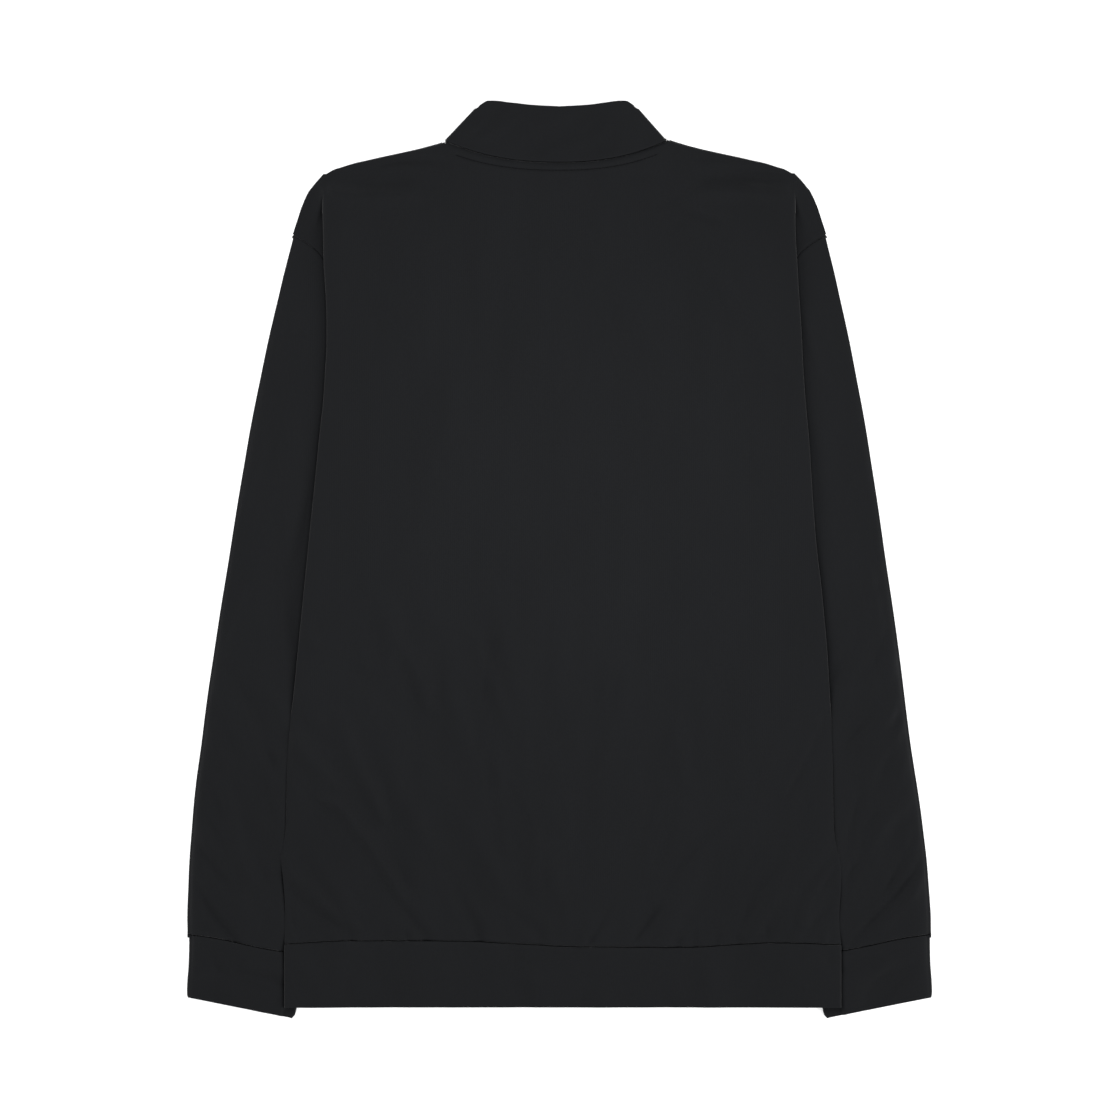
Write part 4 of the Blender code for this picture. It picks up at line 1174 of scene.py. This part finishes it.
def tricot(name, hex_colour, wale_angle=0.0):
    """Brushed knit: matt, a faint glow where it turns away, soft clouds of nap and fine wales."""
    sheen = {"Sheen Weight": 0.15, "Sheen Roughness": 0.4}
    made, tree, shader = principled(name, {"Roughness": 0.8, "Specular IOR Level": 0.1} | sheen)
    place = add_node(tree, "ShaderNodeTexCoord", "Object")
    turning, drawing = {"Rotation": (0, 0, wale_angle)}, {"Scale": (1.0, 0.35, 1.0)}
    turned = add_node(tree, "ShaderNodeMapping", "Vector", turning, {"Vector": place})
    drawn = add_node(tree, "ShaderNodeMapping", "Vector", drawing, {"Vector": turned})
    nap = {"Scale": 24.0, "Detail": 5.0, "Roughness": 0.6}
    cloud = add_node(tree, "ShaderNodeTexNoise", "Fac", nap, {"Vector": drawn})
    grain = add_node(tree, "ShaderNodeTexNoise", "Fac", {"Scale": 900.0, "Detail": 2.0}, {"Vector": turned})
    tone = add_node(tree, "ShaderNodeMath", 0, {"operation": "MULTIPLY_ADD", 1: 0.6}, {0: cloud, 2: grain})
    colour = add_node(tree, "ShaderNodeValToRGB", "Color", {}, {"Fac": tone})
    for element, position, share in zip(colour.node.color_ramp.elements, (0.45, 1.15), (0.84, 1.16)):
        element.position = position
        element.color = [c * share for c in linear(hex_colour)[:3]] + [1]
    tree.links.new(colour, shader.inputs["Base Color"])
    ribs = {"wave_type": "BANDS", "Scale": 174.0, "Distortion": 1.2}  # 1.8 mm apart
    wales = add_node(tree, "ShaderNodeTexWave", "Fac", ribs, {"Vector": turned})
    height = add_node(tree, "ShaderNodeMath", 0, {"operation": "MULTIPLY_ADD", 1: 0.5}, {0: wales, 2: grain})
    bumped(tree, shader, 0.25, 0.00025, height)
    return made


def dyed_thread(name, hex_colour):
    """Twisted polyester thread: dull, with the twist showing as fine slanting lines close to."""
    settings = {"Base Color": linear(hex_colour), "Roughness": 0.8, "Specular IOR Level": 0.08}
    made, tree, shader = principled(name, settings)
    place = add_node(tree, "ShaderNodeTexCoord", "Object")
    slanting = {"bands_direction": "DIAGONAL", "Scale": 900.0}
    twist = add_node(tree, "ShaderNodeTexWave", "Fac", slanting, {"Vector": place})
    bumped(tree, shader, 0.5, 0.0001, twist)
    return made


def coil_plastic(name, hex_colour):
    """Drawn nylon: smooth, with a soft highlight and a fine speckle."""
    made, tree, shader = principled(name, {"Roughness": 0.35})
    place = add_node(tree, "ShaderNodeTexCoord", "Object")
    speckle = add_node(tree, "ShaderNodeTexNoise", "Fac", {"Scale": 1500.0}, {"Vector": place})
    colours = {"data_type": "RGBA", 6: linear(hex_colour), 7: linear("#151517")}  # inputs A and B
    tone = add_node(tree, "ShaderNodeMix", 2, colours, {0: speckle})
    tree.links.new(tone, shader.inputs["Base Color"])
    return made


def enamel(name, hex_colour):
    """Enamel baked on a zinc casting: smooth, glossy, a little uneven, worn thin nowhere."""
    coat = {"Coat Weight": 0.4, "Coat Roughness": 0.15}
    made, tree, shader = principled(name, {"Base Color": linear(hex_colour)} | coat)
    place = add_node(tree, "ShaderNodeTexCoord", "Object")
    ripple = add_node(tree, "ShaderNodeTexNoise", "Fac", {"Scale": 400.0, "Detail": 3.0}, {"Vector": place})
    limits = {"To Min": 0.28, "To Max": 0.42}
    rough = add_node(tree, "ShaderNodeMapRange", "Result", limits, {"Value": ripple})
    tree.links.new(rough, shader.inputs["Roughness"])
    return made


# %% [markdown]
# ## Thread and zip: one thing repeated along a path
#
# Stitches and zip teeth are the same small shape set down again and again. A node group does it: it cuts a
# path into equal steps, turns the shape along the path, and lays one down at each step.

# %% Repeating a shape along a path
STRAND_SIDES = 6


def strand(name, path, radius, closed=False):
    """A round thread along a short path in millimetres that stays in the X-Z plane."""
    path = np.array(path, float)
    ahead, behind = np.roll(path, -1, axis=0), np.roll(path, 1, axis=0)
    if not closed:
        ahead[-1], behind[0] = path[-1], path[0]
    run = (ahead - behind) / np.linalg.norm(ahead - behind, axis=1, keepdims=True)
    across = np.array([0.0, 1.0, 0.0])
    angles = np.arange(STRAND_SIDES) * 2 * pi / STRAND_SIDES
    bm = bmesh.new()
    rings = []
    for spot, way in zip(path, run):
        up = np.cross(way, across)
        around = [spot + radius * (cos(a) * across + sin(a) * up) for a in angles]
        rings.append([bm.verts.new(Vector(place) * MM) for place in around])
    for low, high in list(zip(rings, rings[1:])) + ([(rings[-1], rings[0])] if closed else []):
        for k in range(STRAND_SIDES):
            after = (k + 1) % STRAND_SIDES
            bm.faces.new((low[k], low[after], high[after], high[k]))
    if not closed:
        bm.faces.new(rings[0][::-1])
        bm.faces.new(rings[-1])
    bmesh.ops.recalc_face_normals(bm, faces=bm.faces)
    for face in bm.faces:
        face.smooth = True
    return from_bmesh(name, bm)


def repeat_group():
    """Node group: lays Item along Path every Pitch, turned by Turn and a little at random."""
    tree = bpy.data.node_groups.new("Repeat along a path", "GeometryNodeTree")
    tree.is_modifier = True
    kinds = {"Path": "Geometry", "Item": "Object", "Pitch": "Float", "Turn": "Float", "Sway": "Float"}
    kinds |= {"Seed": "Int", "Finish": "Material"}
    sockets = {}
    for name, kind in kinds.items():
        socket = tree.interface.new_socket(name=name, in_out="INPUT", socket_type="NodeSocket" + kind)
        sockets[name] = socket.identifier
    tree.interface.new_socket(name="Row", in_out="OUTPUT", socket_type="NodeSocketGeometry")
    given = tree.nodes.new("NodeGroupInput").outputs

    def step(kind, output, links, settings=()):
        return add_node(tree, kind, output, settings, links)

    curve = step("GeometryNodeMeshToCurve", "Curve", {"Mesh": given["Path"]})
    evenly = {"Curve": curve, "Length": given["Pitch"]}
    steps = step("GeometryNodeResampleCurve", "Curve", evenly, {"mode": "LENGTH"})
    tangent = step("GeometryNodeInputTangent", "Tangent", {})
    facing = {"axis": "X", "pivot_axis": "Z"}
    ahead = step("FunctionNodeAlignRotationToVector", "Rotation", {"Vector": tangent}, facing)
    least = step("ShaderNodeMath", 0, {0: given["Sway"]}, {"operation": "MULTIPLY", 1: -1.0})
    chance = {"Min": least, "Max": given["Sway"], "Seed": given["Seed"]}
    sway = step("FunctionNodeRandomValue", 1, chance, {"data_type": "FLOAT"})
    angle = step("ShaderNodeMath", 0, {0: given["Turn"], 1: sway}, {"operation": "ADD"})
    turn = step("ShaderNodeCombineXYZ", "Vector", {"Z": angle})
    turned = {"Rotation": ahead, "Rotate By": turn}
    way = step("FunctionNodeRotateRotation", "Rotation", turned, {"rotation_space": "LOCAL"})
    item = step("GeometryNodeObjectInfo", "Geometry", {"Object": given["Item"]})
    on_steps = {"Points": steps, "Instance": item, "Rotation": way}
    laid = step("GeometryNodeInstanceOnPoints", "Instances", on_steps)
    real = step("GeometryNodeRealizeInstances", "Geometry", {"Geometry": laid})
    painted = step("GeometryNodeSetMaterial", "Geometry", {"Geometry": real, "Material": given["Finish"]})
    tree.links.new(painted, tree.nodes.new("NodeGroupOutput").inputs["Row"])
    return tree, sockets


REPEAT, REPEAT_SOCKETS = repeat_group()


def repeated(name, item, paths, pitch, finish, turn=0.0, sway=0.0):
    """One piece made of a shape laid along each path in turn."""
    bm = bmesh.new()
    for path in paths:
        verts = [bm.verts.new(Vector(spot) * MM) for spot in path]
        for a, b in zip(verts, verts[1:]):
            bm.edges.new((a, b))
    obj = from_bmesh(name, bm)
    modifier = obj.modifiers.new("Repeat", "NODES")
    modifier.node_group = REPEAT
    inputs = {"Item": item, "Pitch": pitch * MM, "Turn": turn, "Sway": sway, "Seed": 4, "Finish": finish}
    for key, value in inputs.items():
        modifier[REPEAT_SOCKETS[key]] = value
    applied(obj)
    bpy.data.objects.remove(item)
    print(name, triangles(obj))


# %% Sewing thread
Sewing = namedtuple("Sewing", "length pitch thread")
TOPSTITCHES = Sewing(2.4, 3.0, 0.52)
# The seam stitches are real stitches and painted seam shade: thick black thread that fills each seam's groove
# and darkens it.
SEAM_SHADE_STITCHES = Sewing(3.0, 2.6, 0.85)  # longer than their pitch, so that they close the groove
CUFF_SHADE_STITCHES = Sewing(3.0, 2.6, 0.95)
STITCH_ARCH, STITCH_SUNK, STITCH_LIFT = 0.12, 0.3, 0.2
STITCH_SWAY = 0.07  # radians


def on_seam(piece, line):
    """The line laid on a piece's upper side, as far as the piece reaches."""
    spots = []
    for x, y in line:
        hit, spot, *_ = pieces[piece].ray_cast(Vector((x * MM, y * MM, 0.1)), Vector((0, 0, -1)))
        if hit:
            spots.append((x, y, spot.z / MM + STITCH_LIFT))
    return spots


def hem_line():
    xs = np.arange(2.0 - body_edge(LEFT, HEM), body_edge(RIGHT, HEM) - 3.0, 1.5)
    return [(x, hem_seam(x)) for x in xs]


def cuff_line(side):
    """Along the cuff's seam, from its outer edge to the body."""
    shares = np.linspace(0.02, 0.88, 70)
    return [(side * spot[0], spot[1] - BAND_OPEN / 2) for spot in cuff_seam(side, shares)]


def sew(name, piece, line, sewing):
    """A row of stitches, each a thread that rises from the cloth and goes back in."""
    share = np.linspace(-1, 1, 7)
    rise = STITCH_ARCH * (1 - share**4) - STITCH_SUNK
    path = paired(share * sewing.length / 2, 0 * share, rise)
    stitch = strand("stitch", path, sewing.thread / 2)
    repeated(name, stitch, [on_seam(piece, line)], sewing.pitch, thread_and_seam_shade_finish, sway=STITCH_SWAY)


# One near-black thread: real topstitching at the neck, and painted seam shade where it is laid in the seam
# grooves.
thread_and_seam_shade_finish = dyed_thread("Sewing thread, black polyester", "#030304")
sew("thread_neck", "back_cloth", neck_line(TOPSTITCH), TOPSTITCHES)
# Painted seam shade: black thread laid thick in the neck, hem and cuff seam grooves.
sew("thread_neck_seam", "back_cloth", neck_line(BAND_OPEN / 2), SEAM_SHADE_STITCHES)
sew("thread_hem_seam", "back_cloth", hem_line(), SEAM_SHADE_STITCHES)
for side in (LEFT, RIGHT):
    sew(f"thread_cuff_{name_of(side)}", f"sleeve_cloth_{name_of(side)}", cuff_line(side), CUFF_SHADE_STITCHES)

# %% [markdown]
# ## The zip
#
# A coil zip: on the edge of each woven tape lies a thread wound into a row of loops, and the two rows hook
# into each other. It lies on the jacket's front, so it faces the table.

# %% Zip tapes and coils
CHAIN_WIDTH, TAPE_WIDTH, TAPE_THICK = 5.0, 11.2, 0.6
COIL_PITCH, COIL_THREAD = 1.6, 0.62
COIL_REACH, COIL_RISE = 1.42, 0.42  # half the width and half the height of a loop
COIL_OUT, COIL_START = 0.78, 2.2  # how far from the centre line, and how far above the hem, a row begins


def zip_z(height):
    return np.interp(height, ZIP_HEIGHTS, ZIP_LEVELS)


def zip_line(x, start):
    heights = np.arange(start, CHAIN_HEAD - 0.5, 4.0)
    return [(x, height, float(zip_z(height))) for height in heights]


def tape(side):
    heights = np.append(np.arange(HEM_EDGE + 1.5, CHAIN_HEAD, 5.0), CHAIN_HEAD)
    inner = CHAIN_WIDTH / 2 + SEAM_GAP
    outs = np.linspace(inner, inner + TAPE_WIDTH, 5)
    return points(side * outs[None, :], heights[:, None], zip_z(heights)[:, None])


for side in (LEFT, RIGHT):
    make_sheet(f"zip_tape_cloth_{name_of(side)}", [tape(side)], TAPE_THICK)
coil_finish = coil_plastic("Zip coil, black nylon", "#0b0b0c")
angles = np.arange(10) * 2 * pi / 10
loop = paired(COIL_REACH * np.cos(angles), 0 * angles, COIL_RISE * np.sin(angles))
starts = {LEFT: COIL_START, RIGHT: COIL_START + COIL_PITCH / 2}  # half a step apart, so that the rows hook in
rows = [zip_line(side * COIL_OUT, HEM_EDGE + start) for side, start in starts.items()]
coil_loop = strand("coil loop", loop, COIL_THREAD / 2, closed=True)
repeated("zip_coil", coil_loop, rows, COIL_PITCH, coil_finish, turn=pi / 2)

# %% Dressing the pieces
cloth_finish = tricot("Polyester tricot, charcoal", "#0d0e10")
tape_finish = tricot("Woven zip tape, charcoal", "#0e0f11", wale_angle=pi / 2)
enamel_finish = enamel("Black enamel on zinc", "#0c0c0d")
finishes = {name: tape_finish if "tape" in name else cloth_finish for name in pieces if "cloth" in name}
finishes |= {name: enamel_finish for name in ("zip_slider", "zip_pull_tab")}
for name, finish in finishes.items():
    slots = (pieces.get(name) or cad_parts[name]).data.materials
    slots.clear()
    slots.append(finish)
print("materials:", [m.name for m in bpy.data.materials])

# %% [markdown]
# ## Floor, light and camera
#
# The jacket lies on a plain white floor under an even white sky, which gives most of the light and leaves
# hardly any shadow. A small lamp overhead lifts the middle a little. Two broad lamps stand low at the left
# and the right, so that folds show as slow changes of tone. The camera looks straight down through a long
# lens, which keeps the flat layers free of perspective.

# %% Floor, light and camera
WHITE = (1, 1, 1, 1)
FLOOR_SIZE, FLOOR_GLOW, SKY_STRENGTH = 30.0, 0.4, 0.98


def flat_square(name, size):
    mesh = bpy.data.meshes.new(name)
    half = size / 2
    corner_points = [(-half, -half, 0), (half, -half, 0), (half, half, 0), (-half, half, 0)]
    mesh.from_pydata(corner_points, [], [(0, 1, 2, 3)])
    return placed(name, mesh)


floor = flat_square("floor", FLOOR_SIZE)
paint_settings = {"Base Color": linear("#f4f4f4"), "Roughness": 0.9}
paint_settings |= {"Emission Color": WHITE, "Emission Strength": FLOOR_GLOW}
floor.data.materials.append(principled("Matt white floor paint", paint_settings)[0])

world = bpy.data.worlds.new("Studio")
world.use_nodes = True
sky = world.node_tree.nodes["Background"].inputs
sky["Color"].default_value, sky["Strength"].default_value = WHITE, SKY_STRENGTH
bpy.context.scene.world = world


def soft_light(name, place, size, power):
    light = bpy.data.lights.new(name, "AREA")
    light.shape, light.size, light.energy = "SQUARE", size, power
    obj = placed(name, light)
    obj.location = place
    obj.rotation_euler = (-Vector(place)).to_track_quat("-Z", "Y").to_euler()
    obj.visible_camera = False


soft_light("Overhead", (0.05, 0.09, 0.45), size=0.25, power=1.05)
soft_light("Right", (2.4, -1.0, 1.3), size=1.5, power=49)
soft_light("Left", (-2.4, 0.8, 1.3), size=1.5, power=41)

CAMERA_HEIGHT, SEEN_WIDTH, SENSOR = 6.0, 0.9408, 36.0  # metres, and millimetres for the sensor
lens = bpy.data.cameras.new("Camera")
lens.sensor_width = SENSOR
lens.lens = SENSOR * CAMERA_HEIGHT / SEEN_WIDTH
lens.clip_end = 2 * FLOOR_SIZE
camera = placed("Camera", lens)
camera.location = (0.0004, -0.0004, CAMERA_HEIGHT)  # half a pixel off the middle
bpy.context.scene.camera = camera
bpy.context.scene.view_settings.view_transform = "Standard"
print(f"lens {lens.lens:.1f} mm")

# %% [markdown]
# ## Joining the pieces to the model
#
# Each piece of cloth stands for its solid and moves with the jacket's body; the table lists what it was cut
# to.

# %% Pieces, bodies and cuts
Cut = namedtuple("Cut", "piece node slot width length area rests")  # metres; no area for a plain strip
FRONTS = ["front_cloth_left", "front_cloth_right"]
CUTS = [
    Cut("back_cloth", "back_panel", "back_cloth", 0.61, 0.675, 0.348, FRONTS),
    Cut("front_cloth_left", "front_left", "front_cloth_left", 0.31, 0.66, 0.165, ["floor"]),
    Cut("front_cloth_right", "front_right", "front_cloth_right", 0.31, 0.66, 0.168, ["floor"]),
    Cut("sleeve_cloth_left", "sleeve_left", "sleeve_cloth_left", 0.42, 0.60, 0.136, ["floor"]),
    Cut("sleeve_cloth_right", "sleeve_right", "sleeve_cloth_right", 0.40, 0.60, 0.129, ["floor"]),
    Cut("cuff_cloth_left", "cuff_left", "cuff_cloth_left", 0.186, 0.055, None, ["floor"]),
    Cut("cuff_cloth_right", "cuff_right", "cuff_cloth_right", 0.186, 0.055, None, ["floor"]),
    Cut("hem_cloth", "hem_band", "band_cloth", 0.92, 0.054, None, ["floor"]),
    Cut("collar_cloth", "collar", "collar_cloth", 0.36, 0.055, 0.0165, ["floor"]),
]
for word, front in zip(("left", "right"), FRONTS):
    node = f"zip_tape_{word}"
    CUTS.append(Cut(f"zip_tape_cloth_{word}", node, node, 0.0112, 0.70, None, [front]))
for cut in CUTS:
    piece = pieces[cut.piece]
    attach(piece, "jacket")
    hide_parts(cut.node)
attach(pieces["zip_coil"], "jacket")
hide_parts("zip_chain")
SEWN = {"thread_neck": "back_cloth", "thread_neck_seam": "back_cloth", "thread_hem_seam": "band_cloth"}
SEWN.update({f"thread_cuff_{name_of(side)}": f"cuff_cloth_{name_of(side)}" for side in (LEFT, RIGHT)})
for name, slot in SEWN.items():
    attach(pieces[name], "jacket")
